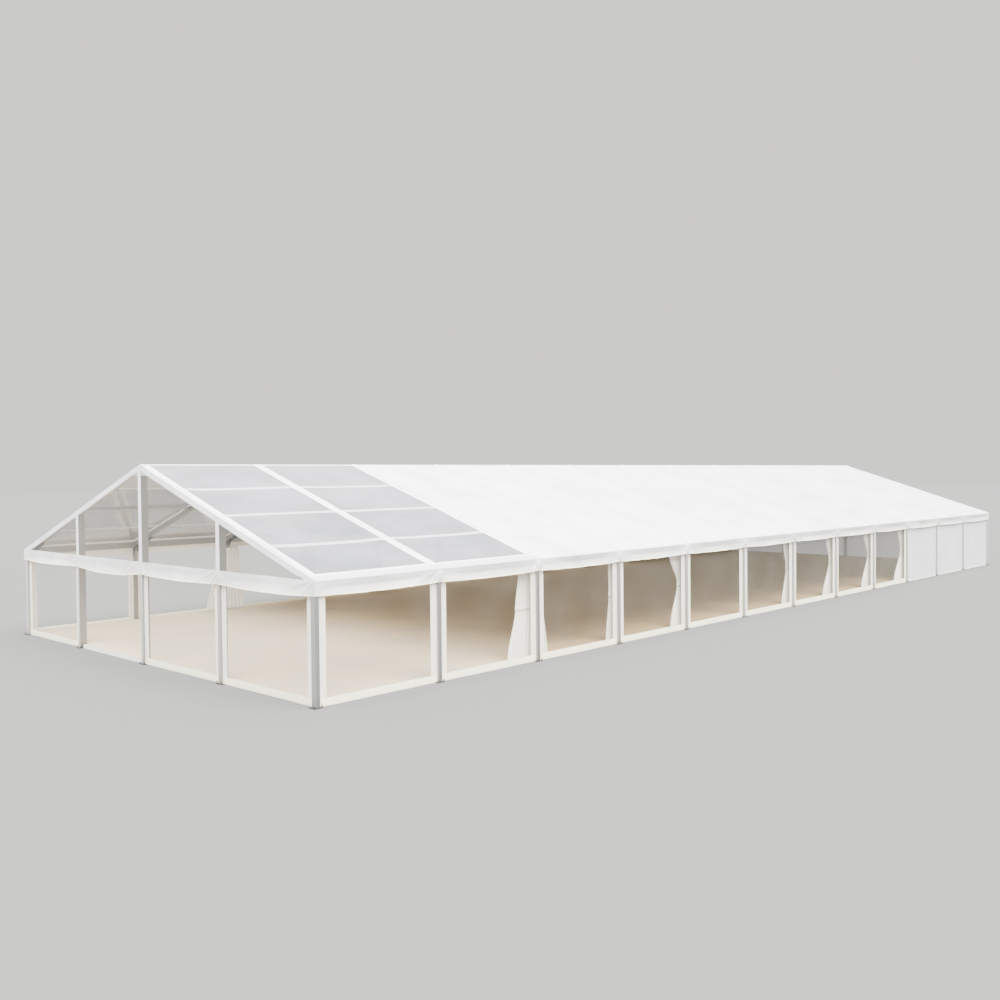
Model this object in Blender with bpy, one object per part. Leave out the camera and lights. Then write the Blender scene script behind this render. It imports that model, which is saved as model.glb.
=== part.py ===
# Frame marquee: an aluminium clearspan tent on portal frames, with film windows along its sides.
# X is the width, Y the length and Z is up. The clear front gable faces -Y.
# The origin is the middle of the footprint at ground level. Sizes are metres.

import math

import bmesh
import bpy

# Driving dimensions of the whole tent
SPAN = 13.0  # over the outer faces of the legs
BAY = 3.0  # centre of one portal frame to the centre of the next
BAY_COUNT = 12
CLEAR_ROOF_BAYS = 2  # counted from the front
WINDOW_BAYS = 9  # side bays with windows, counted from the front
GABLE_BAYS = 4
ENTRANCE_BAY = 1  # the open gable bay, counted from 0 at the left corner
EAVES = 2.305  # ground to the top outer corner of a frame
RIDGE = 4.47  # ground to the top of a frame's apex

# Aluminium box section of the legs, rafters and gable uprights
SECTION_DEPTH = 0.133  # in the plane of the frame
SECTION_WIDTH = 0.088
UPRIGHT_DEPTH = 0.17  # of a gable upright, along the tent
APEX_PLATE = 0.32  # half the width of the steel plate under the apex

# Steel base plate under each leg and upright
PLATE_THICK = 0.012
PLATE_OVER = 0.03  # past the section's deep sides
PLATE_SIDE = 0.06  # past the section's narrow sides

# Purlins: width across the slope or outwards, and depth
MID_PURLIN_WIDTH = 0.06
MID_PURLIN_DEPTH = 0.06
RIDGE_PURLIN_WIDTH = 0.08
RIDGE_PURLIN_DEPTH = 0.09
EAVE_PURLIN_WIDTH = 0.06
EAVE_PURLIN_DEPTH = 0.15

# Gable beam between the corner legs, its underside level with the eave purlins'
BEAM_HEIGHT = 0.10
BEAM_DEPTH = 0.06

# Coated cloth and clear film
SKIN = 0.006
WALL_SETBACK = 0.05  # outer face of the frame to the inner face of a wall sheet
HANGER = 0.06  # height of the strip that carries a row of wall sheets

# A side or gable window
SIDE_MARGIN = 0.17
KICKER = 0.17  # ground to the bottom of the clear film
WINDOW_DROP = 0.15  # eave purlin to the top of the clear film
FILM_LAP = 0.04

# Valance
VALANCE_DROP = 0.28  # roof edge to the hem beside a leg
VALANCE_SAG = 0.02  # how far the hem hangs lower in the middle of a bay
SAG_STEPS = 8

# Built floor
FLOOR_THICK = 0.09

# Gathered curtains and the rail that they hang from
CURTAIN_RAIL = 0.03
CURTAIN_RAIL_DROP = 0.155  # eave purlin to the top of the rail
CURTAIN_CLOTH = 0.03
CURTAIN_FOLD = 0.035  # how far a fold stands out from the middle of the cloth
CURTAIN_GAP = 0.012  # hem to floor
CURTAIN_INSET = 0.07  # inner face of a leg to the middle of the cloth
FOLD_LENGTH = 0.13
FOLD_STEPS = 2
CURTAIN_LEVELS = 6
TIE_HEIGHT = 0.6  # share of the way from the hem to the rail
RAIL_PAST = 0.03  # rail past the last cloth at each end
# The leg that a curtain hangs at, counted from 0 at the front, and how far it reaches
# to the front and to the rear of the leg's middle, each at the head, the tie and the hem
FRONT_CURTAINS = (
    (2, (0.44, 0.54, 0.80), (0.33, 0.38, 0.52)),
    (3, (0.18, 0.17, 0.30), (0.26, 0.26, 0.38)),
    (4, (0.53, 0.17, 0.50), (0.14, 0.12, 0.20)),
)
REAR_CURTAINS = (
    (6, (0.30, 0.14, 0.38), (0.14, 0.12, 0.18)),
    (7, (0.38, 0.15, 0.62), (0.14, 0.12, 0.18)),
    (8, (0.45, 0.13, 0.62), (0.14, 0.12, 0.18)),
    (9, (0.45, 0.20, 0.78), (0.14, 0.12, 0.18)),
)

GAP = 0.0003  # between pieces that touch

# Worked out from the sizes above
HALF_SPAN = SPAN / 2
HALF_LENGTH = BAY * BAY_COUNT / 2
END_FACE = HALF_LENGTH + SECTION_WIDTH / 2
LAYER = GAP + SKIN
RISE = (RIDGE - EAVES) / HALF_SPAN
PITCH = math.atan(RISE)
BEAM_FOOT = EAVES - EAVE_PURLIN_DEPTH
WALL_TOP = BEAM_FOOT - GAP
WALL_FOOT = PLATE_THICK + GAP
WINDOW_TOP = BEAM_FOOT - WINDOW_DROP
CURTAIN_RAIL_TOP = BEAM_FOOT - CURTAIN_RAIL_DROP
VALANCE_FOOT = EAVES - VALANCE_DROP
LEG_INNER = HALF_SPAN - SECTION_DEPTH
FRAME_PLACES = [BAY * k - HALF_LENGTH for k in range(BAY_COUNT + 1)]
GABLE_STEP = SPAN / GABLE_BAYS
UPRIGHT_PLACES = [GABLE_STEP * k - HALF_SPAN for k in range(1, GABLE_BAYS)]


def clear_scene():
    """Remove whatever the file opened with."""
    for thing in list(bpy.data.objects):
        bpy.data.objects.remove(thing, do_unlink=True)


# Materials
def material(name, colour, roughness, metallic=0.0, alpha=1.0):
    """A plain finish with its own colour, roughness and metallic value."""
    finish = bpy.data.materials.new(name)
    finish.use_nodes = True
    shader = finish.node_tree.nodes["Principled BSDF"]
    shader.inputs["Base Color"].default_value = (*colour, 1.0)
    shader.inputs["Roughness"].default_value = roughness
    shader.inputs["Metallic"].default_value = metallic
    shader.inputs["Alpha"].default_value = alpha
    return finish


# Shapes
def prism(outline, start, end, place):
    """A flat outline pulled from start to end; place turns (a, b, along) into x, y, z."""
    shape = bmesh.new()
    near = [shape.verts.new(place(a, b, start)) for a, b in outline]
    far = [shape.verts.new(place(a, b, end)) for a, b in outline]
    shape.faces.new(near)
    shape.faces.new(far)
    count = len(outline)
    for k in range(count):
        after = (k + 1) % count
        shape.faces.new((near[k], near[after], far[after], far[k]))
    bmesh.ops.recalc_face_normals(shape, faces=shape.faces)
    mesh = bpy.data.meshes.new("prism")
    shape.to_mesh(mesh)
    shape.free()
    return mesh


def across(a, b, along):
    """An outline drawn in X and Z, pulled along Y."""
    return (a, along, b)


def lengthwise(a, b, along):
    """An outline drawn in Y and Z, pulled along X."""
    return (along, a, b)


def upwards(a, b, along):
    """An outline drawn in X and Y, pulled along Z."""
    return (a, b, along)


def box(low, high):
    """A closed box between two corners."""
    outline = [(low[0], low[1]), (high[0], low[1]), (high[0], high[1]), (low[0], high[1])]
    return prism(outline, low[2], high[2], upwards)


def side_by_side(meshes):
    """Several meshes that don't meet, in one mesh."""
    shape = bmesh.new()
    for mesh in meshes:
        shape.from_mesh(mesh)
    together = bpy.data.meshes.new("group")
    shape.to_mesh(together)
    shape.free()
    return together


def combined(base, tool, operation):
    """The base mesh with the tool mesh added to it or cut out of it."""
    body = bpy.data.objects.new("base", base)
    other = bpy.data.objects.new("tool", tool)
    for thing in (body, other):
        bpy.context.collection.objects.link(thing)
    cut = body.modifiers.new("cut", "BOOLEAN")
    cut.operation = operation
    cut.solver = "EXACT"
    cut.object = other
    depsgraph = bpy.context.evaluated_depsgraph_get()
    result = bpy.data.meshes.new_from_object(body.evaluated_get(depsgraph))
    for thing in (body, other):
        bpy.data.objects.remove(thing, do_unlink=True)
    return result


def piece(name, mesh, finish, y=0.0):
    """A named sub-part at its place along the tent."""
    result = bpy.data.objects.new(name, mesh)
    if not mesh.materials:
        mesh.materials.append(finish)
    result.location = (0.0, y, 0.0)
    bpy.context.collection.objects.link(result)
    return result


def mirrored(points):
    """The same points on the other side of X = 0, in the opposite order."""
    return [(-x, other) for x, other in reversed(points)]


# The roof's lines
def frame_top(x):
    """Height of the rafters' upper face."""
    return RIDGE - RISE * abs(x)


def frame_underside(x):
    """Height of the rafters' lower face, or of the apex plate's edge where that is lower."""
    drop = SECTION_DEPTH / math.cos(PITCH)
    return frame_top(max(abs(x), APEX_PLATE)) - drop


def above_frame(x, distance):
    """Height of a face that lies this far outside the rafters' upper face."""
    return frame_top(x) + distance / math.cos(PITCH)


def mid_purlin_outline(clearance):
    """The halfway purlin's corners on the right slope, or its notch with a clearance."""
    half = MID_PURLIN_WIDTH / 2 + clearance
    depth = MID_PURLIN_DEPTH + clearance
    middle = HALF_SPAN / 2
    out_x, out_z = math.cos(PITCH), -math.sin(PITCH)
    in_x, in_z = -math.sin(PITCH), -math.cos(PITCH)
    top = frame_top(middle)
    outer = (middle + half * out_x, top + half * out_z)
    inner = (middle - half * out_x, top - half * out_z)
    deep_outer = (outer[0] + depth * in_x, outer[1] + depth * in_z)
    deep_inner = (inner[0] + depth * in_x, inner[1] + depth * in_z)
    return [outer, deep_outer, deep_inner, inner]


# Portal frame: two legs and two rafters on base plates, notched for the purlins
def leg_plate(side):
    """The base plate of one leg."""
    inner, outer = LEG_INNER - PLATE_OVER, HALF_SPAN + PLATE_OVER
    reach = SECTION_WIDTH / 2 + PLATE_SIDE
    low_x, high_x = sorted((side * inner, side * outer))
    return box((low_x, -reach, 0.0), (high_x, reach, PLATE_THICK))


def portal_frame_mesh():
    """One frame in the plane Y = 0."""
    foot = PLATE_THICK / 2
    notch_x = HALF_SPAN - EAVE_PURLIN_WIDTH - GAP
    notch_z = EAVES - EAVE_PURLIN_DEPTH - GAP
    ridge_x = RIDGE_PURLIN_WIDTH / 2 + GAP
    ridge_z = RIDGE - RIDGE_PURLIN_DEPTH - GAP
    right_top = [
        (LEG_INNER, foot),
        (HALF_SPAN, foot),
        (HALF_SPAN, notch_z),
        (notch_x, notch_z),
        (notch_x, frame_top(notch_x)),
        *mid_purlin_outline(GAP),
        (ridge_x, frame_top(ridge_x)),
        (ridge_x, ridge_z),
    ]
    right_under = [
        (APEX_PLATE, frame_underside(APEX_PLATE)),
        (LEG_INNER, frame_underside(LEG_INNER)),
    ]
    outline = right_top + mirrored(right_top) + mirrored(right_under) + right_under
    half = SECTION_WIDTH / 2
    mesh = prism(outline, -half, half, across)
    plates = side_by_side([leg_plate(1), leg_plate(-1)])
    return combined(mesh, plates, "UNION")


def portal_frames(finish):
    """One frame at each end and between the bays, all of one mesh."""
    mesh = portal_frame_mesh()
    for number, y in enumerate(FRAME_PLACES, 1):
        piece(f"portal_frame_{number:02d}", mesh, finish, y)


# Purlins: straight rails in the frames' notches
def purlins(finish):
    """The ridge purlin, two halfway purlins and two eave purlins."""
    half = RIDGE_PURLIN_WIDTH / 2
    ridge = [
        (-half, RIDGE - RIDGE_PURLIN_DEPTH),
        (half, RIDGE - RIDGE_PURLIN_DEPTH),
        (half, frame_top(half)),
        (0.0, RIDGE),
        (-half, frame_top(half)),
    ]
    piece("ridge_purlin", prism(ridge, -END_FACE, END_FACE, across), finish)
    inner = HALF_SPAN - EAVE_PURLIN_WIDTH
    eave = [
        (HALF_SPAN, EAVES - EAVE_PURLIN_DEPTH),
        (HALF_SPAN, EAVES),
        (inner, frame_top(inner)),
        (inner, EAVES - EAVE_PURLIN_DEPTH),
    ]
    for part, outline in (("mid", mid_purlin_outline(0.0)), ("eave", eave)):
        right = prism(outline, -END_FACE, END_FACE, across)
        left = prism(mirrored(outline), -END_FACE, END_FACE, across)
        piece(f"right_{part}_purlin", right, finish)
        piece(f"left_{part}_purlin", left, finish)


# Roof panels: one sheet to a bay, from eave to eave over the ridge
def roof_panels(clear_film, white_cloth):
    """The front bays are clear film and the rest white cloth."""
    edge = HALF_SPAN + 2 * LAYER
    top = [(edge, above_frame(edge, LAYER)), (0.0, above_frame(0.0, LAYER))]
    under = [(0.0, above_frame(0.0, GAP)), (edge, above_frame(edge, GAP))]
    left_top = (-edge, above_frame(edge, LAYER))
    left_under = (-edge, above_frame(edge, GAP))
    outline = [*top, left_top, left_under, *under]
    for number in range(1, BAY_COUNT + 1):
        front, back = FRAME_PLACES[number - 1], FRAME_PLACES[number]
        start = front + GAP / 2 if number > 1 else -END_FACE - LAYER
        end = back - GAP / 2 if number < BAY_COUNT else END_FACE + LAYER
        cloth = clear_film if number <= CLEAR_ROOF_BAYS else white_cloth
        piece(f"roof_panel_{number:02d}", prism(outline, start, end, across), cloth)


# Gable frames: uprights on base plates, joined by a beam at eaves height
def upright(x):
    """One upright, its head cut to the rafter's slope."""
    half = SECTION_WIDTH / 2
    outline = [
        (x - half, PLATE_THICK / 2),
        (x + half, PLATE_THICK / 2),
        (x + half, frame_underside(x + half) - GAP),
        (x - half, frame_underside(x - half) - GAP),
    ]
    return prism(outline, -END_FACE, UPRIGHT_DEPTH - END_FACE, across)


def upright_plate(x):
    """The base plate of one upright."""
    reach = SECTION_WIDTH / 2 + PLATE_SIDE
    inner = UPRIGHT_DEPTH + PLATE_OVER - END_FACE
    return box((x - reach, -END_FACE - PLATE_OVER, 0.0), (x + reach, inner, PLATE_THICK))


def gable_beam():
    """The beam, its ends cut to the corner legs and the rafters above them."""
    end = LEG_INNER - GAP
    head = BEAM_FOOT + BEAM_HEIGHT
    rafter_meets = (frame_top(0.0) - SECTION_DEPTH / math.cos(PITCH) - GAP - head) / RISE
    right = [(end, BEAM_FOOT)]
    if frame_underside(end) - GAP < head:
        right += [(end, frame_underside(end) - GAP), (rafter_meets, head)]
    else:
        right += [(end, head)]
    return prism(right + mirrored(right), -END_FACE, BEAM_DEPTH - END_FACE, across)


def gable_frames(finish):
    """The front gable frame and the same one turned round at the rear."""
    mesh = gable_beam()
    mesh = combined(mesh, side_by_side([upright(x) for x in UPRIGHT_PLACES]), "UNION")
    mesh = combined(mesh, side_by_side([upright_plate(x) for x in UPRIGHT_PLACES]), "UNION")
    piece("front_gable_frame", mesh, finish)
    rear = piece("rear_gable_frame", mesh, finish)
    rear.rotation_euler = (0.0, 0.0, math.pi)


# Gable infills: the triangle above the beam, outside the frame
def gable_infills(clear_film, white_cloth):
    """Clear at the front and white at the rear."""
    right = [
        (HALF_SPAN, BEAM_FOOT),
        (HALF_SPAN, above_frame(HALF_SPAN, 0.0)),
    ]
    outline = [*right, (0.0, above_frame(0.0, 0.0)), *mirrored(right)]
    inner, outer = END_FACE + GAP, END_FACE + LAYER
    piece("front_gable_infill", prism(outline, -outer, -inner, across), clear_film)
    piece("rear_gable_infill", prism(outline, inner, outer, across), white_cloth)


# Walls: sheets between the legs, all hung from one strip that runs past the legs
def surround_profile():
    """Cross-section of a white wall sheet: distance out from the frame's face, and height."""
    inner, skin = -WALL_SETBACK, SKIN - WALL_SETBACK
    strip = WALL_TOP - HANGER
    return [
        (inner, WALL_FOOT),
        (skin, WALL_FOOT),
        (skin, strip),
        (LAYER, strip),
        (LAYER, WALL_TOP),
        (inner, WALL_TOP),
    ]


def pane_profile():
    """Cross-section of the clear film that lies against the white sheet's outer face."""
    inner = SKIN - WALL_SETBACK + GAP
    head = WALL_TOP - HANGER - GAP
    strip = head - HANGER
    foot = KICKER - FILM_LAP
    return [
        (inner, foot),
        (inner + SKIN, foot),
        (inner + SKIN, strip),
        (LAYER, strip),
        (LAYER, head),
        (inner, head),
    ]


def side_place(out, height, along):
    """A wall profile stood on the right side."""
    return (HALF_SPAN + out, along, height)


def front_place(out, height, along):
    """A wall profile stood on the front gable."""
    return (along, -END_FACE - out, height)


def slot(place, start, end):
    """A cutter for everything of a wall but its strip, from start to end along it."""
    outline = [(-EAVES, -EAVES), (GAP, -EAVES), (GAP, EAVES), (-EAVES, EAVES)]
    return prism(outline, start, end, place)


def window_hole(place, start, end):
    """A cutter for one window."""
    outline = [
        (-WALL_SETBACK - GAP, KICKER),
        (SKIN - WALL_SETBACK + GAP, KICKER),
        (SKIN - WALL_SETBACK + GAP, WINDOW_TOP),
        (-WALL_SETBACK - GAP, WINDOW_TOP),
    ]
    return prism(outline, start, end, place)


def wall_row(place, profile, start, end, gaps, windows=()):
    """A row of wall sheets, with the gaps for legs and the windows cut out."""
    mesh = prism(profile, start, end, place)
    cutters = [slot(place, low, high) for low, high in gaps]
    cutters += [window_hole(place, low, high) for low, high in windows]
    return combined(mesh, side_by_side(cutters), "DIFFERENCE")


def leg_gaps(places, margin):
    """The stretch that each leg takes out of a wall, with a margin on both sides."""
    half = SECTION_WIDTH / 2 + margin
    return [(y - half, y + half) for y in places]


def window_spans(places, margin):
    """The stretch of each window between neighbouring legs."""
    inset = SECTION_WIDTH / 2 + margin
    return [(a + inset, b - inset) for a, b in zip(places, places[1:])]


def flipped(mesh):
    """The mirror image of a mesh in X."""
    shape = bmesh.new()
    shape.from_mesh(mesh)
    for vertex in shape.verts:
        vertex.co.x = -vertex.co.x
    bmesh.ops.reverse_faces(shape, faces=shape.faces)
    result = bpy.data.meshes.new("mirror")
    shape.to_mesh(result)
    shape.free()
    return result


def side_walls(clear_film, white_cloth):
    """Window bays at the front and closed bays at the rear, on both sides."""
    legs = FRAME_PLACES[: WINDOW_BAYS + 1]
    closed_legs = FRAME_PLACES[WINDOW_BAYS:]
    split = legs[-1]
    start, end = -END_FACE, split - GAP / 2
    windows = window_spans(legs, SIDE_MARGIN)
    film_margin = SIDE_MARGIN - FILM_LAP
    rows = (
        ("window_wall", white_cloth, surround_profile(), start, end, leg_gaps(legs, GAP), windows),
        ("window_film", clear_film, pane_profile(), start, end, leg_gaps(legs, film_margin), ()),
        ("closed_wall", white_cloth, surround_profile(), split + GAP / 2, END_FACE,
         leg_gaps(closed_legs, GAP), ()),
    )
    for part, cloth, profile, low, high, gaps, holes in rows:
        mesh = wall_row(side_place, profile, low, high, gaps, holes)
        piece(f"right_{part}", mesh, cloth)
        piece(f"left_{part}", flipped(mesh), cloth)


def front_walls(clear_film, white_cloth):
    """Windows in the front gable, with one bay left open as the entrance."""
    edges = [-LEG_INNER - SECTION_WIDTH / 2, *UPRIGHT_PLACES, LEG_INNER + SECTION_WIDTH / 2]
    entrance = (edges[ENTRANCE_BAY], edges[ENTRANCE_BAY + 1])
    for part, cloth, profile, margin in (
        ("window_wall", white_cloth, surround_profile(), GAP),
        ("window_film", clear_film, pane_profile(), SIDE_MARGIN - FILM_LAP),
    ):
        inset = SECTION_WIDTH / 2 + margin
        gaps = [(-HALF_SPAN - margin, edges[0] + inset), (edges[-1] - inset, HALF_SPAN + margin)]
        gaps += leg_gaps([x for x in UPRIGHT_PLACES if x not in entrance], margin)
        gaps.append((entrance[0] - inset, entrance[1] + inset))
        spans = [s for k, s in enumerate(window_spans(edges, SIDE_MARGIN)) if k != ENTRANCE_BAY]
        windows = spans if part == "window_wall" else ()
        mesh = wall_row(front_place, profile, -HALF_SPAN, HALF_SPAN, gaps, windows)
        piece(f"front_{part}", mesh, cloth)


def rear_wall(finish):
    """One closed sheet outside the rear uprights, from corner to corner."""
    low = (-HALF_SPAN, END_FACE + GAP, WALL_FOOT)
    high = (HALF_SPAN, END_FACE + LAYER, WALL_TOP)
    piece("rear_gable_wall", box(low, high), finish)


# Valances: strips under the roof's edge, hanging a little lower in the middle of each bay
def valance_outline(edges, start, end):
    """The outline of one strip along its wall, with a sag between each two edges."""
    head = above_frame(HALF_SPAN + 2 * LAYER, GAP) - GAP
    bottom = [(start, VALANCE_FOOT)]
    for low, high in zip(edges, edges[1:]):
        for step in range(SAG_STEPS):
            share = step / SAG_STEPS
            place = low + (high - low) * share
            if start < place < end:
                bottom.append((place, VALANCE_FOOT - VALANCE_SAG * math.sin(math.pi * share)))
    bottom.append((end, VALANCE_FOOT))
    return [*bottom, (end, head), (start, head)]


def valances(finish):
    """One strip to a side, the gable strips between the long ones."""
    side_end = END_FACE + GAP + LAYER + SKIN
    outline = valance_outline(FRAME_PLACES, -side_end, side_end)
    inner, outer = HALF_SPAN + LAYER + GAP, HALF_SPAN + 2 * LAYER
    piece("right_valance", prism(outline, inner, outer, lengthwise), finish)
    piece("left_valance", prism(outline, -outer, -inner, lengthwise), finish)
    gable_end = HALF_SPAN + LAYER
    edges = [-HALF_SPAN, *UPRIGHT_PLACES, HALF_SPAN]
    outline = valance_outline(edges, -gable_end, gable_end)
    inner, outer = END_FACE + LAYER + GAP, END_FACE + 2 * LAYER
    piece("front_valance", prism(outline, -outer, -inner, across), finish)
    piece("rear_valance", prism(outline, inner, outer, across), finish)


# Floor: boards laid up to the walls, notched round every base plate
def floor(finish):
    """One level deck."""
    edge_x = HALF_SPAN - WALL_SETBACK - GAP
    edge_y = END_FACE - WALL_SETBACK - GAP
    notch_x = LEG_INNER - PLATE_OVER - GAP
    notch_y = END_FACE - UPRIGHT_DEPTH - PLATE_OVER - GAP
    reach = SECTION_WIDTH / 2 + PLATE_SIDE + GAP
    right = [(notch_x, FRAME_PLACES[0] + reach), (edge_x, FRAME_PLACES[0] + reach)]
    for y in FRAME_PLACES[1:-1]:
        right += [(edge_x, y - reach), (notch_x, y - reach)]
        right += [(notch_x, y + reach), (edge_x, y + reach)]
    right += [(edge_x, FRAME_PLACES[-1] - reach), (notch_x, FRAME_PLACES[-1] - reach)]
    rear = [(notch_x, edge_y)]
    for x in reversed(UPRIGHT_PLACES):
        rear += [(x + reach, edge_y), (x + reach, notch_y)]
        rear += [(x - reach, notch_y), (x - reach, edge_y)]
    rear += [(-notch_x, edge_y)]
    half_way_round = right + rear
    other_half = [(-x, -y) for x, y in half_way_round]
    piece("floor", prism(half_way_round + other_half, 0.0, FLOOR_THICK, upwards), finish)


# Curtains: gathered cloth at the legs, hung from a rail inside them
def smooth(share):
    """A share from 0 to 1 that starts and ends gently."""
    return share * share * (3.0 - 2.0 * share)


def curtain_reach(reaches, share):
    """How far the cloth reaches from the leg at a share of its height."""
    head, tie, hem = reaches
    if share < TIE_HEIGHT:
        return hem + (tie - hem) * smooth(share / TIE_HEIGHT)
    return tie + (head - tie) * smooth((share - TIE_HEIGHT) / (1.0 - TIE_HEIGHT))


def curtain_ring(leg_y, front, rear, height, steps):
    """The cloth's folded outline at one height, as points round it."""
    middle = LEG_INNER - CURTAIN_INSET
    inner, outer = [], []
    for step in range(steps + 1):
        y = leg_y + rear - (front + rear) * step / steps
        fold = middle + CURTAIN_FOLD * math.sin(math.pi * step / FOLD_STEPS)
        inner.append((fold - CURTAIN_CLOTH / 2, y, height))
        outer.append((fold + CURTAIN_CLOTH / 2, y, height))
    return inner + outer[::-1]


def curtain_mesh(leg_y, front, rear):
    """One gathered curtain, drawn in where it is tied back."""
    foot = FLOOR_THICK + CURTAIN_GAP
    head = CURTAIN_RAIL_TOP - CURTAIN_RAIL / 2
    steps = FOLD_STEPS * max(2, round((front[0] + rear[0]) / FOLD_LENGTH))
    shape = bmesh.new()
    rings = []
    for level in range(CURTAIN_LEVELS + 1):
        share = level / CURTAIN_LEVELS
        reaches = (curtain_reach(front, share), curtain_reach(rear, share))
        points = curtain_ring(leg_y, *reaches, foot + (head - foot) * share, steps)
        rings.append([shape.verts.new(point) for point in points])
    shape.faces.new(rings[0])
    shape.faces.new(rings[-1])
    count = len(rings[0])
    for low, high in zip(rings, rings[1:]):
        for k in range(count):
            after = (k + 1) % count
            shape.faces.new((low[k], low[after], high[after], high[k]))
    bmesh.ops.recalc_face_normals(shape, faces=shape.faces)
    mesh = bpy.data.meshes.new("curtain")
    shape.to_mesh(mesh)
    shape.free()
    return mesh


def curtain_row(group):
    """A rail along the inner faces of the legs, with the curtains of one group."""
    first_leg, first_front, _ = group[0]
    last_leg, _, last_rear = group[-1]
    start = FRAME_PLACES[first_leg] - first_front[0] - RAIL_PAST
    end = FRAME_PLACES[last_leg] + last_rear[0] + RAIL_PAST
    outer = LEG_INNER - GAP
    low = (outer - CURTAIN_RAIL, start, CURTAIN_RAIL_TOP - CURTAIN_RAIL)
    rail = box(low, (outer, end, CURTAIN_RAIL_TOP))
    cloths = [curtain_mesh(FRAME_PLACES[leg], front, rear) for leg, front, rear in group]
    return combined(rail, side_by_side(cloths), "UNION")


def curtains(finish):
    """Two rails with their curtains on each side."""
    for part, group in (("front", FRONT_CURTAINS), ("rear", REAR_CURTAINS)):
        mesh = curtain_row(group)
        piece(f"right_{part}_curtains", mesh, finish)
        piece(f"left_{part}_curtains", flipped(mesh), finish)


def build():
    """The whole marquee."""
    clear_scene()
    aluminium = material("aluminium", (0.62, 0.64, 0.65), 0.38, metallic=1.0)
    white_cloth = material("white_cloth", (0.88, 0.88, 0.87), 0.42)
    clear_film = material("clear_film", (0.86, 0.88, 0.90), 0.10, alpha=0.30)
    ivory_cloth = material("ivory_cloth", (0.84, 0.80, 0.71), 0.80)
    carpet = material("carpet", (0.70, 0.66, 0.62), 0.92)
    portal_frames(aluminium)
    purlins(aluminium)
    roof_panels(clear_film, white_cloth)
    gable_frames(aluminium)
    gable_infills(clear_film, white_cloth)
    side_walls(clear_film, white_cloth)
    front_walls(clear_film, white_cloth)
    rear_wall(white_cloth)
    valances(white_cloth)
    floor(carpet)
    curtains(ivory_cloth)


build()
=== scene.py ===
import math
import random

import bmesh
import bpy
from mathutils import Matrix, Vector, noise


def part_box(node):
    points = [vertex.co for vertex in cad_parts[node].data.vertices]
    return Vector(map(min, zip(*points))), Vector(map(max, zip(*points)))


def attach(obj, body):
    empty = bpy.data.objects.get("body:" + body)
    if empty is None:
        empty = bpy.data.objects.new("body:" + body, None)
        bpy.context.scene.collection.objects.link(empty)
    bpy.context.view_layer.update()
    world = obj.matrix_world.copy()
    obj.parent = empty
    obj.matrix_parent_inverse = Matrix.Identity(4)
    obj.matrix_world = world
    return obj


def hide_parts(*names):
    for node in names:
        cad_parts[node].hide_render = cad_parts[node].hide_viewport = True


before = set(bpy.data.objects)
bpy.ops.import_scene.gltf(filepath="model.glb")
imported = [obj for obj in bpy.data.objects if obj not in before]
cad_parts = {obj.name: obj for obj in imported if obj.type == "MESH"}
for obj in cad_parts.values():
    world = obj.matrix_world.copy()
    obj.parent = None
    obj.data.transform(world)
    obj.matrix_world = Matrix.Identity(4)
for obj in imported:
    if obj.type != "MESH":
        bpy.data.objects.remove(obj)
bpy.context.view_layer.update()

# %% [markdown]
# A frame marquee is an aluminium skeleton with cloth slid into it: portal frames every three metres,
# rails between them, and one sheet to a bay. The skeleton comes in as a fixed frame, already in metres.
# Its sizes could be typed in again, but sizes that are read off its boxes can't drift away from it, so
# only what no box shows is written here. X is the width, Y the length and Z is up. The clear front gable
# faces -Y.


# %% Frames and bays
def corners_of(node):
    """A node's lowest and highest corner, to a tenth of a millimetre."""
    return [[round(value, 4) for value in corner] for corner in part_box(node)]


def middle_along(node):
    """Where the middle of a node lies along the tent."""
    low, high = corners_of(node)
    return round((low[1] + high[1]) / 2, 4)


FRAME_NODES = sorted(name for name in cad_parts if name.startswith("portal_frame_"))
FRAME_PLACES = [middle_along(name) for name in FRAME_NODES]
BAY_COUNT = len(FRAME_NODES) - 1
BAY = FRAME_PLACES[1] - FRAME_PLACES[0]
HALF_LENGTH = FRAME_PLACES[-1]
print("bays:", BAY_COUNT, "of", BAY, "m, frames from", FRAME_PLACES[0], "to", HALF_LENGTH)

# %% Span, eaves and ridge
rail_low, rail_high = corners_of("right_eave_purlin")
END_FACE = rail_high[1]  # the rails end flush with the end frames
LEG_WIDTH = round(2 * (END_FACE - HALF_LENGTH), 4)
triangle_low, triangle_high = corners_of("front_gable_infill")
HALF_SPAN = triangle_high[0]
SPAN = 2 * HALF_SPAN
BEAM_FOOT = triangle_low[2]  # underside of the eave rails and of the gable beams
RIDGE = triangle_high[2]
# The eave rail's upper inner edge lies on the roof's slope, which runs on to the legs' outer faces.
EAVES = round(RIDGE - (RIDGE - rail_high[2]) * HALF_SPAN / rail_low[0], 3)
RISE = (RIDGE - EAVES) / HALF_SPAN
PITCH = math.atan(RISE)
print("span", SPAN, "eaves", EAVES, "ridge", RIDGE, "pitch in degrees", round(math.degrees(PITCH), 1))

# %% Sizes that no box shows
CLEAR_ROOF_BAYS = 2  # counted from the front
GABLE_BAYS = 4
LEG_DEPTH = 0.133
LEG_INNER = HALF_SPAN - LEG_DEPTH
PLATE_TOP = 0.012  # of the steel plates under the legs
SHEET_FOOT = PLATE_TOP + 0.0005
GABLE_STEP = SPAN / GABLE_BAYS
GABLE_PLACES = [GABLE_STEP * k - HALF_SPAN for k in range(GABLE_BAYS + 1)]
UPRIGHT_PLACES = GABLE_PLACES[1:-1]
print("gable uprights at", UPRIGHT_PLACES)

# %% [markdown]
# The camera looks from a raised point off the front corner. Its place, direction and lens follow from
# where the feet of the legs, the eaves and the ridge fall in the picture. Blender could track a target
# instead, but a heading, a tilt and a small roll say it exactly.

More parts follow.
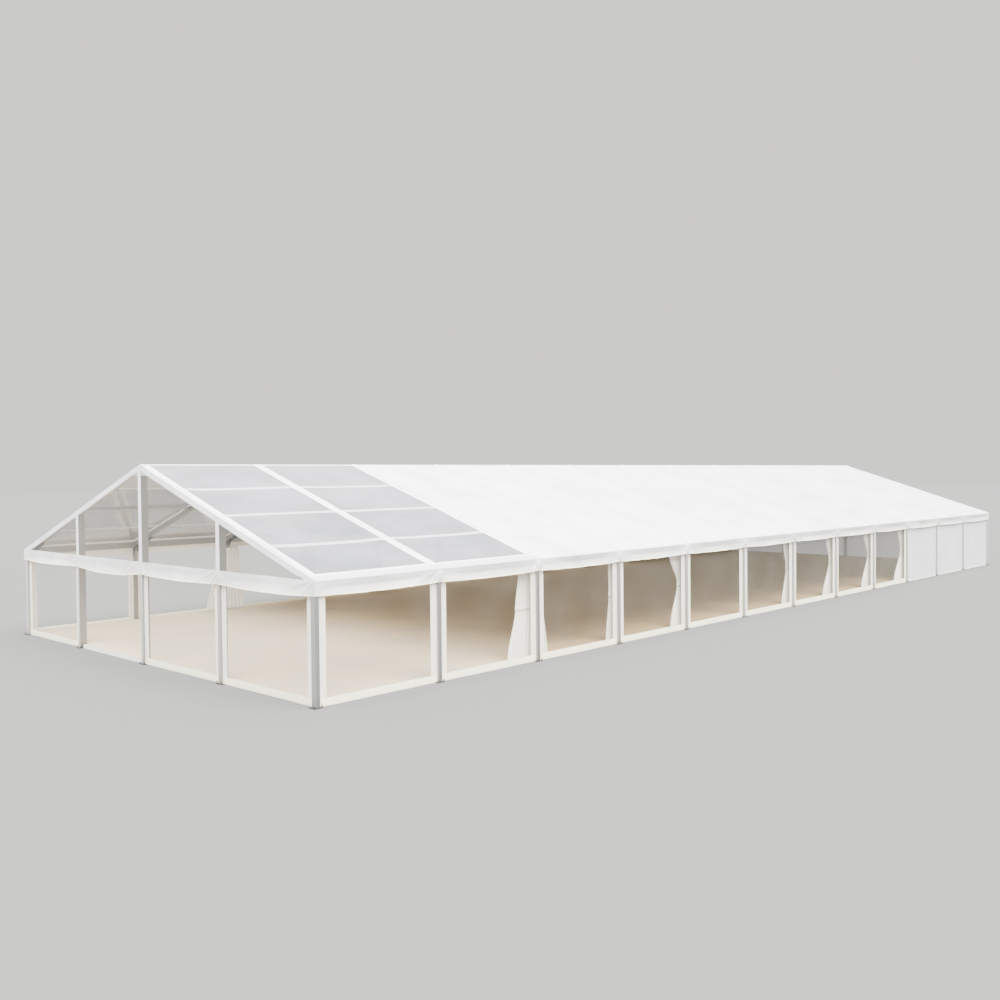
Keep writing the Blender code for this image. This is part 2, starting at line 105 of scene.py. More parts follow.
# %% The camera
CAMERA_PLACE = (21.13, -28.62, 4.15)
HEADING = math.radians(43.52)  # from +Y towards -X
TILT = math.radians(1.41)  # below level
ROLL = math.radians(-0.55)
camera_data = bpy.data.cameras.new("camera")
camera_data.sensor_width = 36.0
camera_data.lens = 35.86
camera_data.clip_end = 900.0
camera = bpy.data.objects.new("camera", camera_data)
turn = Matrix.Rotation(HEADING, 3, "Z") @ Matrix.Rotation(math.radians(90) - TILT, 3, "X")
camera.rotation_euler = (turn @ Matrix.Rotation(ROLL, 3, "Z")).to_euler()
camera.location = CAMERA_PLACE
bpy.context.scene.collection.objects.link(camera)
bpy.context.scene.camera = camera
print("camera at", CAMERA_PLACE, "lens", round(camera_data.lens, 1))

# %% [markdown]
# The floor and the light are a plain studio's. White cloth needs soft light from everywhere, and more
# from above than from the sides, so that slopes and folds read. Area lights would need many lamps round
# a tent this long. So a pale world colour gives the first and one very wide sun the second. White on
# white would drown, so the camera sees a plain light grey behind the tent in place of the bright world
# colour that lights it, and the floor is a matt grey of about the same tone.

# %% Floor
GROUND_HALF = 300.0
corners = [(-GROUND_HALF, -GROUND_HALF), (GROUND_HALF, -GROUND_HALF),
           (GROUND_HALF, GROUND_HALF), (-GROUND_HALF, GROUND_HALF)]
ground_mesh = bpy.data.meshes.new("studio_floor")
ground_mesh.from_pydata([(x, y, 0.0) for x, y in corners], [], [(0, 1, 2, 3)])
ground = bpy.data.objects.new("studio_floor", ground_mesh)
bpy.context.scene.collection.objects.link(ground)
ground_paint = bpy.data.materials.new("studio_floor")
ground_paint.use_nodes = True
paint = ground_paint.node_tree.nodes["Principled BSDF"]
paint.inputs["Base Color"].default_value = (0.112, 0.113, 0.110, 1.0)
paint.inputs["Roughness"].default_value = 0.95
paint.inputs["Specular IOR Level"].default_value = 0.1
ground_mesh.materials.append(ground_paint)
print("floor:", 2 * GROUND_HALF, "m square")

# %% Light from all round
world = bpy.data.worlds.new("studio")
world.use_nodes = True
bpy.context.scene.world = world
world_nodes = world.node_tree.nodes
world_links = world.node_tree.links
world_light = world_nodes["Background"]
world_light.inputs["Color"].default_value = (0.95, 0.97, 1.0, 1.0)
world_light.inputs["Strength"].default_value = 2.6
backdrop = world_nodes.new("ShaderNodeBackground")
backdrop.inputs["Color"].default_value = (1.0, 0.985, 0.94, 1.0)
backdrop.inputs["Strength"].default_value = 1.21
ray_kind = world_nodes.new("ShaderNodeLightPath")
seen_or_lit = world_nodes.new("ShaderNodeMixShader")
world_links.new(ray_kind.outputs["Is Camera Ray"], seen_or_lit.inputs["Fac"])
world_links.new(world_light.outputs["Background"], seen_or_lit.inputs[1])
world_links.new(backdrop.outputs["Background"], seen_or_lit.inputs[2])
world_links.new(seen_or_lit.outputs["Shader"], world_nodes["World Output"].inputs["Surface"])
print("world strength", round(world_light.inputs["Strength"].default_value, 2))

# %% Light from above
sun_data = bpy.data.lights.new("wide_sun", "SUN")
sun_data.energy = 26.0
sun_data.angle = math.radians(80)
sun_data.color = (1.0, 0.985, 0.96)
sun = bpy.data.objects.new("wide_sun", sun_data)
sun.rotation_euler = (math.radians(21), 0.0, math.radians(66))
bpy.context.scene.collection.objects.link(sun)
print("sun strength", sun_data.energy)

# %% [markdown]
# Every sheet of cloth or film is a grid of faces. Its grid lines are listed first, with a line wherever
# film and cloth meet, and a function then says where each grid point lies in the tent. A plane with a
# Subdivide and a Displace modifier would also give folds, but a function can hold an edge still where it
# sits in its track and let it move where it hangs free.


# %% Grid lines
def stations(edges, step):
    """Places from the first edge to the last, with each edge kept and no stretch over the step."""
    places = [edges[0]]
    for low, high in zip(edges, edges[1:]):
        count = max(1, math.ceil((high - low) / step - 1e-6))
        places += [low + (high - low) * k / count for k in range(1, count + 1)]
    return places


print("grid lines of a bay, 6 cm apart:", len(stations([0.0, BAY], 0.06)))

# %% Gentle curves
SEED_STEP = 7.31  # keeps the noise of two seeds apart


def drift(x, y=0.0, seed=0.0):
    """A smooth number from about -1 to 1 that changes slowly with x and y."""
    return noise.noise(Vector((x, y, seed * SEED_STEP)))


def hump(distance, width):
    """1 at a line, and close to 0 beyond twice the width from it."""
    return math.exp(-(distance / width) ** 2)


def arch(share):
    """0 at both ends of a stretch and 1 halfway, full in between."""
    return math.sin(math.pi * min(max(share, 0.0), 1.0)) ** 0.8


def eased(share):
    """A share from 0 to 1 that starts and ends gently."""
    return share * share * (3.0 - 2.0 * share)


def held_at_ends(share, width):
    """0 at both ends of a held stretch and 1 beyond the width from them."""
    return eased(min(1.0, min(share, 1.0 - share) / width))


print("an arch at its end, a quarter along and halfway:", [round(arch(t), 2) for t in (0.0, 0.25, 0.5)])


# %% A sheet from its grid
def grid_mesh(name, us, vs, place, choose=None, flip=False):
    """One surface over the grid of us and vs, with a material number for each face."""
    points = [place(u, v) for v in vs for u in us]
    row = len(us)
    faces, chosen = [], []
    for j in range(len(vs) - 1):
        for i in range(row - 1):
            corner = j * row + i
            face = (corner, corner + 1, corner + row + 1, corner + row)
            faces.append(face[::-1] if flip else face)
            if choose:
                chosen.append(choose((us[i] + us[i + 1]) / 2, (vs[j] + vs[j + 1]) / 2))
    mesh = bpy.data.meshes.new(name)
    mesh.from_pydata(points, [], faces)
    mesh.polygons.foreach_set("use_smooth", [True] * len(faces))
    if chosen:
        mesh.polygons.foreach_set("material_index", chosen)
    return mesh


def add_piece(name, mesh, finishes, nodes=()):
    """A piece on the tent's one body, in place of the plain CAD nodes that it stands for."""
    made = bpy.data.objects.new(name, mesh)
    for finish in finishes:
        mesh.materials.append(finish)
    bpy.context.scene.collection.objects.link(made)
    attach(made, "root")
    if nodes:
        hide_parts(*nodes)
    return made


# %% [markdown]
# Some surface effects turn up in several finishes: woven threads, soft creases, rain dirt, painted rear
# shade with bay tones, and the fine lines of drawn metal. The same nodes could be laid out again in
# each finish. As a node group an effect is made once and has values to set. It puts out a number that
# the finish feeds into its colour, roughness or bump. A small kit comes first, so that a group reads
# like a sum and not like wiring.


# %% A small kit for node groups
def new_group(name, inputs, outputs):
    """An empty node group with named number inputs (with their defaults) and outputs."""
    group = bpy.data.node_groups.new(name, "ShaderNodeTree")
    for label, default in inputs:
        socket = group.interface.new_socket(name=label, in_out="INPUT", socket_type="NodeSocketFloat")
        socket.default_value = default
    for label in outputs:
        group.interface.new_socket(name=label, in_out="OUTPUT", socket_type="NodeSocketFloat")
    start = group.nodes.new("NodeGroupInput")
    end = group.nodes.new("NodeGroupOutput")
    return group, start, end


def feed(tree, value, socket):
    """Sets an input to a number or a colour, or links another socket to it."""
    if isinstance(value, (int, float)):
        socket.default_value = value
    elif isinstance(value, tuple):
        socket.default_value = (*value, 1.0)
    else:
        tree.links.new(value, socket)


def maths(tree, operation, *values):
    """A Math node; each value is a socket or a plain number."""
    node = tree.nodes.new("ShaderNodeMath")
    node.operation = operation
    for socket, value in zip(node.inputs, values):
        feed(tree, value, socket)
    return node.outputs[0]


def spread_to(tree, value, low, high, first=0.0, last=1.0):
    """A number from first to last, spread between low and high."""
    node = tree.nodes.new("ShaderNodeMapRange")
    tree.links.new(value, node.inputs["Value"])
    for label, number in (("From Min", first), ("From Max", last), ("To Min", low), ("To Max", high)):
        node.inputs[label].default_value = number
    return node.outputs["Result"]


print("node groups before the first effect:", len(bpy.data.node_groups))


# %% Places and noise
def object_place(tree, stretch=(1.0, 1.0, 1.0)):
    """Object coordinates in metres, stretched along each axis."""
    coordinates = tree.nodes.new("ShaderNodeTexCoord")
    mapping = tree.nodes.new("ShaderNodeMapping")
    mapping.inputs["Scale"].default_value = stretch
    tree.links.new(coordinates.outputs["Object"], mapping.inputs["Vector"])
    return mapping.outputs["Vector"]


def object_axis(tree, axis):
    """One of the object coordinates, in metres."""
    parts = tree.nodes.new("ShaderNodeSeparateXYZ")
    tree.links.new(object_place(tree), parts.inputs[0])
    return parts.outputs[axis]


def noise_node(tree, place, scale, detail=3.0, roughness=0.5):
    """A noise texture's factor; scale is a socket or a number."""
    node = tree.nodes.new("ShaderNodeTexNoise")
    tree.links.new(place, node.inputs["Vector"])
    feed(tree, scale, node.inputs["Scale"])
    node.inputs["Detail"].default_value = detail
    node.inputs["Roughness"].default_value = roughness
    return node.outputs["Fac"]


print("the object coordinates of the frame run from", -END_FACE, "to", END_FACE, "along Y")

# %% [markdown]
# Coated cloth and drapes show the threads that they are woven from. A picture of a weave could be laid
# on each sheet, but it would have to fit every one. Two sine waves that cross give the same fine ribs
# everywhere, and the finish says how many threads there are to a metre.


# %% Woven threads
def threads_group():
    """Fine threads both ways, as they print through a thin coating."""
    group, start, end = new_group("woven_threads", [("Threads per metre", 900.0)], ["Height"])
    beat = maths(group, "MULTIPLY", start.outputs["Threads per metre"], math.tau)
    flat_way = maths(group, "ADD", object_axis(group, "X"), object_axis(group, "Y"))
    warp = maths(group, "SINE", maths(group, "MULTIPLY", flat_way, beat))
    weft = maths(group, "SINE", maths(group, "MULTIPLY", object_axis(group, "Z"), beat))
    group.links.new(maths(group, "ADD", warp, weft), end.inputs["Height"])
    return group


THREADS = threads_group()
print(THREADS.name, "has", len(THREADS.nodes), "nodes")

# %% [markdown]
# Sheets come out of a bag, so they keep long soft creases, mostly upright and level ones. They could be
# modelled, but they are only millimetres deep and cross every sheet. Noise that is stretched one way
# and folded at its middle value makes thin ridges of the same kind. The group also puts out slow clouds,
# which the finishes use to vary their tone.

# %% Soft creases
UPRIGHT_STRETCH = (1.0, 1.0, 0.18)
LEVEL_STRETCH = (0.25, 0.25, 1.3)
LEVEL_SHARE = 0.6  # level creases are lower than upright ones


def crease_ridges(group, scale, stretch):
    """Noise folded at its middle value."""
    rough = noise_node(group, object_place(group, stretch), scale, detail=2.0)
    return maths(group, "ABSOLUTE", maths(group, "SUBTRACT", rough, 0.5))


def creases_group():
    """Long soft creases: two stretched noises folded into ridges."""
    group, start, end = new_group("soft_creases", [("Creases per metre", 2.0)], ["Height", "Tone"])
    scale = start.outputs["Creases per metre"]
    upright = crease_ridges(group, scale, UPRIGHT_STRETCH)
    level = maths(group, "MULTIPLY", crease_ridges(group, scale, LEVEL_STRETCH), LEVEL_SHARE)
    group.links.new(maths(group, "ADD", upright, level), end.inputs["Height"])
    clouds = noise_node(group, object_place(group), scale=0.9, detail=4.0)
    group.links.new(spread_to(group, clouds, 0.0, 1.0, first=0.32, last=0.68), end.inputs["Tone"])
    return group


CREASES = creases_group()
print(CREASES.name, "has", len(CREASES.nodes), "nodes")

# %% [markdown]
# Rain splashes soil up on the feet of legs and sheets. It could be painted on by hand, sheet by sheet.
# The height alone already says where it sits, so a mask fades upwards and noise breaks it into patches.


# %% Rain dirt
def dirt_group():
    """Splashed rain dirt: strongest at the foot and broken up by noise."""
    group, start, end = new_group("rain_dirt", [("Reach", 0.35), ("Amount", 0.5)], ["Mask"])
    share = maths(group, "DIVIDE", object_axis(group, "Z"), start.outputs["Reach"])
    low = maths(group, "MAXIMUM", maths(group, "SUBTRACT", 1.0, share), 0.0)
    patches = noise_node(group, object_place(group), scale=7.0, detail=5.0, roughness=0.6)
    mask = maths(group, "MULTIPLY", maths(group, "MULTIPLY", low, patches), start.outputs["Amount"])
    group.links.new(mask, end.inputs["Mask"])
    return group


DIRT = dirt_group()
print(DIRT.name, "has", len(DIRT.nodes), "nodes")

# %% [markdown]
# The tent gets greyer towards its rear, which is painted shade, and each bay differs a little from the
# next, as sheets that have been in use for different times do. A material for each bay could do that,
# with twelve copies to keep alike. Here the place along the tent gives the number of the bay, and noise
# at that number gives the bay a shade of its own.

# %% Rear shade and age
OWN_SHADE = 0.2  # how far a bay may be from the steady greying, either way


def rear_shade_and_age_group():
    """How grey a sheet is: more towards the rear as painted shade, and a little different from bay to bay.
    """
    group, start, end = new_group("rear_shade_and_sheet_age", [("First bay", 2.0)], ["Mask"])
    in_last_bay = BAY_COUNT - 0.5
    bays = maths(group, "DIVIDE", maths(group, "ADD", object_axis(group, "Y"), HALF_LENGTH), BAY)
    bay = maths(group, "FLOOR", maths(group, "MINIMUM", maths(group, "MAXIMUM", bays, 0.0), in_last_bay))
    spot = group.nodes.new("ShaderNodeCombineXYZ")
    group.links.new(bay, spot.inputs["X"])
    chance = noise_node(group, spot.outputs[0], scale=0.71, detail=0.0)
    own = spread_to(group, chance, -OWN_SHADE, OWN_SHADE, first=0.3, last=0.7)
    past_first = maths(group, "SUBTRACT", bays, start.outputs["First bay"])
    slow = maths(group, "DIVIDE", past_first, float(BAY_COUNT - CLEAR_ROOF_BAYS))
    group.links.new(maths(group, "MAXIMUM", maths(group, "ADD", slow, own), 0.0), end.inputs["Mask"])
    return group


REAR_SHADE_AND_AGE = rear_shade_and_age_group()
print(REAR_SHADE_AND_AGE.name, "has", len(REAR_SHADE_AND_AGE.nodes), "nodes")

# %% [markdown]
# Aluminium sections are pressed through a die, which leaves fine lines along them. An anisotropic shader
# would smear the highlights but show no lines. Noise that is stretched along Z makes them, and they are
# plainest on the legs, which stand upright and are seen from nearest.

# %% Drawn lines
LINE_STRETCH = (6.0, 6.0, 0.25)


def drawn_group():
    """The fine upright lines of a drawn aluminium section, and slow clouds in its tone."""
    group, start, end = new_group("drawn_lines", [("Lines", 60.0)], ["Height", "Tone"])
    fine = noise_node(group, object_place(group, LINE_STRETCH), start.outputs["Lines"], detail=2.0)
    group.links.new(fine, end.inputs["Height"])
    group.links.new(noise_node(group, object_place(group), scale=3.0, detail=4.0), end.inputs["Tone"])
    return group


DRAWN = drawn_group()
print("node groups:", [group.name for group in bpy.data.node_groups])

# %% [markdown]
# No surface of the tent is one flat colour: cloth is clouded and creased, film is hazy, metal has lines.
# Each finish could be a picture laid on the sheets, but then every sheet would have to be unwrapped.
# Here each is a Principled shader with a few of the effects above around it, placed by the tent's own
# metres.


# %% Helpers for finishes
def new_finish(name, colour, roughness, metallic=0.0):
    """A material with its Principled shader set."""
    finish = bpy.data.materials.new(name)
    finish.use_nodes = True
    shader = finish.node_tree.nodes["Principled BSDF"]
    shader.inputs["Base Color"].default_value = (*colour, 1.0)
    shader.inputs["Roughness"].default_value = roughness
    shader.inputs["Metallic"].default_value = metallic
    return finish, finish.node_tree, shader


def use_group(tree, group, **values):
    """A group placed in a material with its own values."""
    node = tree.nodes.new("ShaderNodeGroup")
    node.node_tree = group
    for label, value in values.items():
        node.inputs[label.replace("_", " ")].default_value = value
    return node


def colour_mix(tree, factor, first, second):
    """A mix of two colours by a socket or number; a colour is a tuple or a socket."""
    node = tree.nodes.new("ShaderNodeMix")
    node.data_type = "RGBA"
    inputs = [socket for socket in node.inputs if socket.enabled]
    for socket, value in zip(inputs, (factor, first, second)):
        feed(tree, value, socket)
    return [socket for socket in node.outputs if socket.enabled][0]


def bump(tree, shader, layers):
    """Bump nodes one after another; each layer is (height socket, distance in metres, strength)."""
    normal = None
    for height, distance, strength in layers:
        node = tree.nodes.new("ShaderNodeBump")
        node.inputs["Distance"].default_value = distance
        node.inputs["Strength"].default_value = strength
        tree.links.new(height, node.inputs["Height"])
        if normal is not None:
            tree.links.new(normal, node.inputs["Normal"])
        normal = node.outputs["Normal"]
    tree.links.new(normal, shader.inputs["Normal"])


def let_light_through(finish, shader, colour, share):
    """Mixes a Translucent shader in, so that the cloth glows from behind."""
    tree = finish.node_tree
    glow = tree.nodes.new("ShaderNodeBsdfTranslucent")
    glow.inputs["Color"].default_value = (*colour, 1.0)
    both = tree.nodes.new("ShaderNodeMixShader")
    both.inputs["Fac"].default_value = share
    tree.links.new(shader.outputs["BSDF"], both.inputs[1])
    tree.links.new(glow.outputs["BSDF"], both.inputs[2])
    tree.links.new(both.outputs["Shader"], tree.nodes["Material Output"].inputs["Surface"])


print("materials before the tent's own:", len(bpy.data.materials))

# %% [markdown]
# Roof, walls and valances are polyester cloth under a soft white coating: satin, with a weave that only
# just prints through, creases from the bag it is packed in, a grey towards the rear that is painted
# shade, and a tone that differs a little from bay to bay. A little light passes through it. Subsurface
# scattering would give that in a thick body. A sheet with no thickness has nothing to scatter in, so a
# Translucent shader is mixed in instead.

# %% Coated cloth
SPLASHED = (0.30, 0.45)  # how high rain dirt reaches, in metres, and how strong it is
SCUFFED = (0.10, 0.30)
CLEAN = (0.10, 0.0)
DIRT_COLOUR = (0.74, 0.70, 0.52)


def coated_cloth(name, colour, dull_colour, roughness, dirt=CLEAN, through=0.05, shade_and_age_amount=0.0):
    """White coated polyester: faint threads, packing creases, clouded tone, painted rear shade, dirt low
    down.
    """
    finish, tree, shader = new_finish(name, colour, roughness)
    reach, amount = dirt
    creases = use_group(tree, CREASES, Creases_per_metre=1.6)
    threads = use_group(tree, THREADS, Threads_per_metre=420.0)
    soil = use_group(tree, DIRT, Reach=reach, Amount=amount)
    shade_and_age = use_group(tree, REAR_SHADE_AND_AGE, First_bay=CLEAR_ROOF_BAYS)
    tone = creases.outputs["Tone"]
    clouded = spread_to(tree, tone, 0.0, 0.8)
    shaded_and_aged = spread_to(tree, shade_and_age.outputs["Mask"], 0.0, shade_and_age_amount)
    toned = colour_mix(tree, maths(tree, "ADD", clouded, shaded_and_aged), colour, dull_colour)
    soiled = colour_mix(tree, soil.outputs["Mask"], toned, DIRT_COLOUR)
    tree.links.new(soiled, shader.inputs["Base Color"])
    tree.links.new(spread_to(tree, tone, roughness - 0.08, roughness + 0.10), shader.inputs["Roughness"])
    bump(tree, shader, [(creases.outputs["Height"], 0.012, 0.35), (threads.outputs["Height"], 0.0004, 0.25)])
    let_light_through(finish, shader, colour, through)
    return finish


print("dirt reaches", SPLASHED[0], "m up a wall and", SCUFFED[0], "m up a kicker")

# %% The tent's coated cloths
# Roof and valance cloth grey towards the rear with painted shade.
ROOF_CLOTH = coated_cloth("white_roof_cloth", (0.97, 0.97, 0.97), (0.64, 0.645, 0.67), 0.42, shade_and_age_amount=0.45)
BORDER_CLOTH = coated_cloth("border_cloth", (0.66, 0.665, 0.69), (0.56, 0.565, 0.59), 0.42)
# The hem cloth is greyer partly as a double hem and partly with painted shade along tracks and seams.
HEM_AND_SEAM_SHADE_CLOTH = coated_cloth("hem_and_seam_shade_cloth", (0.80, 0.80, 0.81), (0.66, 0.665, 0.68), 0.42, SPLASHED)
# The walls' cloth is the roof's white cloth made darker with painted shade, as upright sheets get less
# light.
SHADED_WALL_CLOTH = coated_cloth("shaded_white_wall_cloth", (0.69, 0.69, 0.70), (0.56, 0.56, 0.59), 0.46, SPLASHED, 0.12)
MARGIN_CLOTH = coated_cloth("margin_cloth", (0.90, 0.85, 0.73), (0.84, 0.785, 0.66), 0.46, SPLASHED, 0.12)
# The kicker cloth's yellow and brightness are painted light, as if bounced up from below.
BOUNCE_LIT_KICKER_CLOTH = coated_cloth("bounce_lit_kicker_cloth", (0.97, 0.94, 0.71), (0.93, 0.89, 0.64), 0.50, SCUFFED)
VALANCE_CLOTH = coated_cloth("valance_cloth", (0.87, 0.85, 0.83), (0.57, 0.56, 0.55), 0.50, through=0.08,
                             shade_and_age_amount=0.8)
WELD_TAPE = coated_cloth("weld_tape", (0.50, 0.505, 0.52), (0.46, 0.465, 0.48), 0.35)
print("coated cloth:", [finish.name for finish in bpy.data.materials if finish.name.endswith("cloth")])

# %% [markdown]
# Windows, the front triangle and the two front roof bays are flexible clear film. It could be made as
# glass, but a sheet with no thickness would bend the view as if it were solid. So it is a see-through
# surface with a haze, which hides more the flatter it is looked at. The haze's grey is painted shade,
# for the dim inside seen through the film, and the film's paler tone up high is painted light.


# %% Clear film
def clear_film(name, colour, cloudy_colour, haze, edge_on, power, roughness, gloss):
    """Clear film: a grey haze of painted shade, thicker where seen flatly, painted light up high; a gloss.
    """
    finish, tree, shader = new_finish(name, colour, roughness)
    shader.inputs["IOR"].default_value = 1.5
    shader.inputs["Coat Weight"].default_value = gloss
    shader.inputs["Coat Roughness"].default_value = 0.06
    creases = use_group(tree, CREASES, Creases_per_metre=2.4)
    tone = creases.outputs["Tone"]
    rough = noise_node(tree, object_place(tree, (0.6, 0.6, 1.2)), scale=0.8, detail=3.0, roughness=0.6)
    clouds = spread_to(tree, rough, -0.6, 1.6)
    # Painted light: the film's colour turns paler from the eaves up to the ridge.
    paler_up_high_painted_light = spread_to(tree, object_axis(tree, "Z"), -0.22, 0.22, first=EAVES, last=RIDGE)
    haze_and_painted_light = maths(tree, "ADD", clouds, paler_up_high_painted_light)
    tree.links.new(colour_mix(tree, haze_and_painted_light, colour, cloudy_colour), shader.inputs["Base Color"])
    facing = tree.nodes.new("ShaderNodeLayerWeight")
    facing.inputs["Blend"].default_value = 0.5
    curve = maths(tree, "POWER", facing.outputs["Facing"], power)
    cloudy = maths(tree, "ADD", spread_to(tree, curve, haze, edge_on), spread_to(tree, tone, -0.02, 0.04))
    tree.links.new(cloudy, shader.inputs["Alpha"])
    tree.links.new(spread_to(tree, tone, roughness * 0.7, roughness * 1.6), shader.inputs["Roughness"])
    bump(tree, shader, [(creases.outputs["Height"], 0.006, 0.4)])
    return finish


# The films' grey colours are painted shade, for the dim inside seen through them.
WINDOW_FILM = clear_film("window_film", (0.33, 0.32, 0.285), (0.42, 0.41, 0.37),
                         haze=0.04, edge_on=0.55, power=3.0, roughness=0.08, gloss=0.0)
ROOF_FILM = clear_film("roof_film", (0.135, 0.14, 0.155), (0.275, 0.28, 0.31),
                       haze=0.34, edge_on=1.06, power=0.95, roughness=0.14, gloss=0.6)
print("clear film:", WINDOW_FILM.name, ROOF_FILM.name)

# %% [markdown]
# The drapes are soft ivory cloth with a weave that shows and a faint sheen. A Sheen shader could be
# mixed in, but the Principled shader has a sheen of its own, and it follows the weave's bump.


# %% Ivory drape
def drape_cloth():
    """Soft ivory drape with a visible weave and a faint sheen."""
    colour = (0.97, 0.94, 0.86)
    finish, tree, shader = new_finish("ivory_drape", colour, 0.85)
    shader.inputs["Sheen Weight"].default_value = 0.25
    threads = use_group(tree, THREADS, Threads_per_metre=260.0)
    creases = use_group(tree, CREASES, Creases_per_metre=3.0)
    toned = colour_mix(tree, creases.outputs["Tone"], colour, (0.92, 0.88, 0.79))
    tree.links.new(toned, shader.inputs["Base Color"])
    bump(tree, shader, [(creases.outputs["Height"], 0.006, 0.4), (threads.outputs["Height"], 0.0008, 0.5)])
    let_light_through(finish, shader, (0.90, 0.86, 0.76), 0.15)
    return finish


DRAPE = drape_cloth()
print("drape:", DRAPE.name)

# %% [markdown]
# The deck is covered with felted carpet in rolls, trodden in patches, pale under the clear roof and
# brown further in; that brown is partly the carpet's own colour and partly painted shade of the hall
# under the white roof. Two carpets could meet at a line, but no line shows, so one finish turns from
# pale to brown along Y. The joints between the rolls are thin grooves, and the deck's bare edge is
# painted.

# %% Deck carpet
# Along Y the carpet turns brown: partly its own colour, partly painted shade.
BROWN_AND_SHADE_FROM = (-14.0, -10.0)  # where the carpet turns browner, along Y
PALE = ((0.40, 0.315, 0.21), (0.52, 0.415, 0.285), (0.40, 0.33, 0.24))  # dark and light flecks, trodden
BROWN_AND_SHADE = ((0.23, 0.15, 0.055), (0.37, 0.26, 0.11), (0.235, 0.16, 0.07))
ROLL_WIDTH = 2.0
GROOVE_WIDTH = 1 / 90
GROOVE_COLOUR = (0.15, 0.11, 0.07)
EDGE_PAINT = (0.74, 0.73, 0.70)
DECK_TOP = corners_of("floor")[1][2]
CARPET_LIP = 0.002  # how much of the deck's edge the carpet covers


def carpet_tone(tree, flecks, wear, tones):
    """Dark and light flecks, with a third tone where the carpet is trodden."""
    dark, light, trodden = tones
    return colour_mix(tree, wear, colour_mix(tree, flecks, dark, light), trodden)


def carpet_cloth():
    """Felted carpet in rolls laid across, trodden in patches: pale in front, brown with painted shade in the
    hall.
    """
    finish, tree, shader = new_finish("deck_carpet", (0.40, 0.37, 0.34), 0.95)
    place = object_place(tree)
    flecks = noise_node(tree, place, scale=240.0, detail=2.0, roughness=0.7)
    wear = spread_to(tree, noise_node(tree, place, scale=0.7, detail=4.0), 0.0, 0.8, first=0.38, last=0.66)
    inwards = spread_to(tree, object_axis(tree, "Y"), 0.0, 1.0, *BROWN_AND_SHADE_FROM)
    felt = colour_mix(tree, inwards, carpet_tone(tree, flecks, wear, PALE),
                      carpet_tone(tree, flecks, wear, BROWN_AND_SHADE))
    seam = maths(tree, "PINGPONG", object_axis(tree, "Y"), ROLL_WIDTH / 2)
    groove = maths(tree, "MINIMUM", maths(tree, "MULTIPLY", seam, 1 / GROOVE_WIDTH), 1.0)
    carpet = colour_mix(tree, spread_to(tree, groove, 0.65, 1.0), GROOVE_COLOUR, felt)
    edge = maths(tree, "LESS_THAN", object_axis(tree, "Z"), DECK_TOP - CARPET_LIP)
    tree.links.new(colour_mix(tree, edge, carpet, EDGE_PAINT), shader.inputs["Base Color"])
    bump(tree, shader, [(groove, 0.003, 0.4), (flecks, 0.003, 0.6)])
    return finish


CARPET = carpet_cloth()
print("carpet:", CARPET.name, "in rolls of", ROLL_WIDTH, "m on a deck", DECK_TOP, "m up")

# %% [markdown]
# The frame is drawn aluminium, satin and grey with fine lines. The plates and pins are dark steel. The
# legs' outer faces catch light from low all round, so the flatter they are seen, the paler they look.
# Low lamps beside the tent could do that, but they would light the cloth too, so a painted sheen pales
# the metal's colour with the angle, on its outer faces alone.

# %% Drawn metal
OUTER_SKIN = 0.002  # a face this near to the tent's outside counts as an outer one
# Base plates: dark steel, darkened further with painted shade at the legs' feet.
PLATE_STEEL_AND_SHADE = (0.06, 0.058, 0.055)
METAL_DIRT = (0.25, 0.22, 0.17)


def beyond(tree, axis, limit):
    """1 where a coordinate lies further out than the limit, either way."""
    return maths(tree, "GREATER_THAN", maths(tree, "ABSOLUTE", object_axis(tree, axis)), limit)


def drawn_metal(name, colour, dark, painted_sheen, roughness, plate_top):
    """Satin metal with drawn lines; a painted sheen makes its outer faces paler the flatter they are seen.

    Below plate_top it is the base plates' dark steel, made darker still with painted shade.
    """
    finish, tree, shader = new_finish(name, colour, roughness, metallic=1.0)
    lines = use_group(tree, DRAWN, Lines=60.0)
    tone = lines.outputs["Tone"]
    dirt = use_group(tree, DIRT, Reach=0.25, Amount=0.8)
    toned = colour_mix(tree, tone, colour, dark)
    # Painted sheen: outer faces are mixed towards a pale colour the flatter they are seen.
    facing = tree.nodes.new("ShaderNodeLayerWeight")
    facing.inputs["Blend"].default_value = 0.5
    outside = maths(tree, "MAXIMUM", beyond(tree, "X", HALF_SPAN - OUTER_SKIN),
                    beyond(tree, "Y", END_FACE - OUTER_SKIN))
    flatly = spread_to(tree, facing.outputs["Facing"], 0.0, 1.0, first=0.36, last=0.58)
    with_painted_sheen = colour_mix(tree, maths(tree, "MULTIPLY", outside, flatly), toned, painted_sheen)
    soiled = colour_mix(tree, dirt.outputs["Mask"], with_painted_sheen, METAL_DIRT)
    plate = maths(tree, "LESS_THAN", object_axis(tree, "Z"), plate_top)
    tree.links.new(colour_mix(tree, plate, soiled, PLATE_STEEL_AND_SHADE), shader.inputs["Base Color"])
    tree.links.new(spread_to(tree, tone, roughness - 0.07, roughness + 0.12), shader.inputs["Roughness"])
    bump(tree, shader, [(lines.outputs["Height"], 0.0006, 0.35)])
    return finish


# The third colour of each metal is its painted sheen.
ALUMINIUM = drawn_metal("satin_aluminium", (0.40, 0.40, 0.39), (0.31, 0.31, 0.305), (0.95, 0.95, 0.93),
                        roughness=0.40, plate_top=SHEET_FOOT)
STEEL = drawn_metal("dark_steel", (0.10, 0.095, 0.09), (0.05, 0.048, 0.045), (0.14, 0.13, 0.12),
                    roughness=0.5, plate_top=-1.0)
print("metal:", ALUMINIUM.name, STEEL.name)

# %% [markdown]
# The skeleton is the frames, rails and deck. They are rigid, and their solids already have the right
# shape. New meshes could replace them but would add nothing, so they stay and only get a finish.

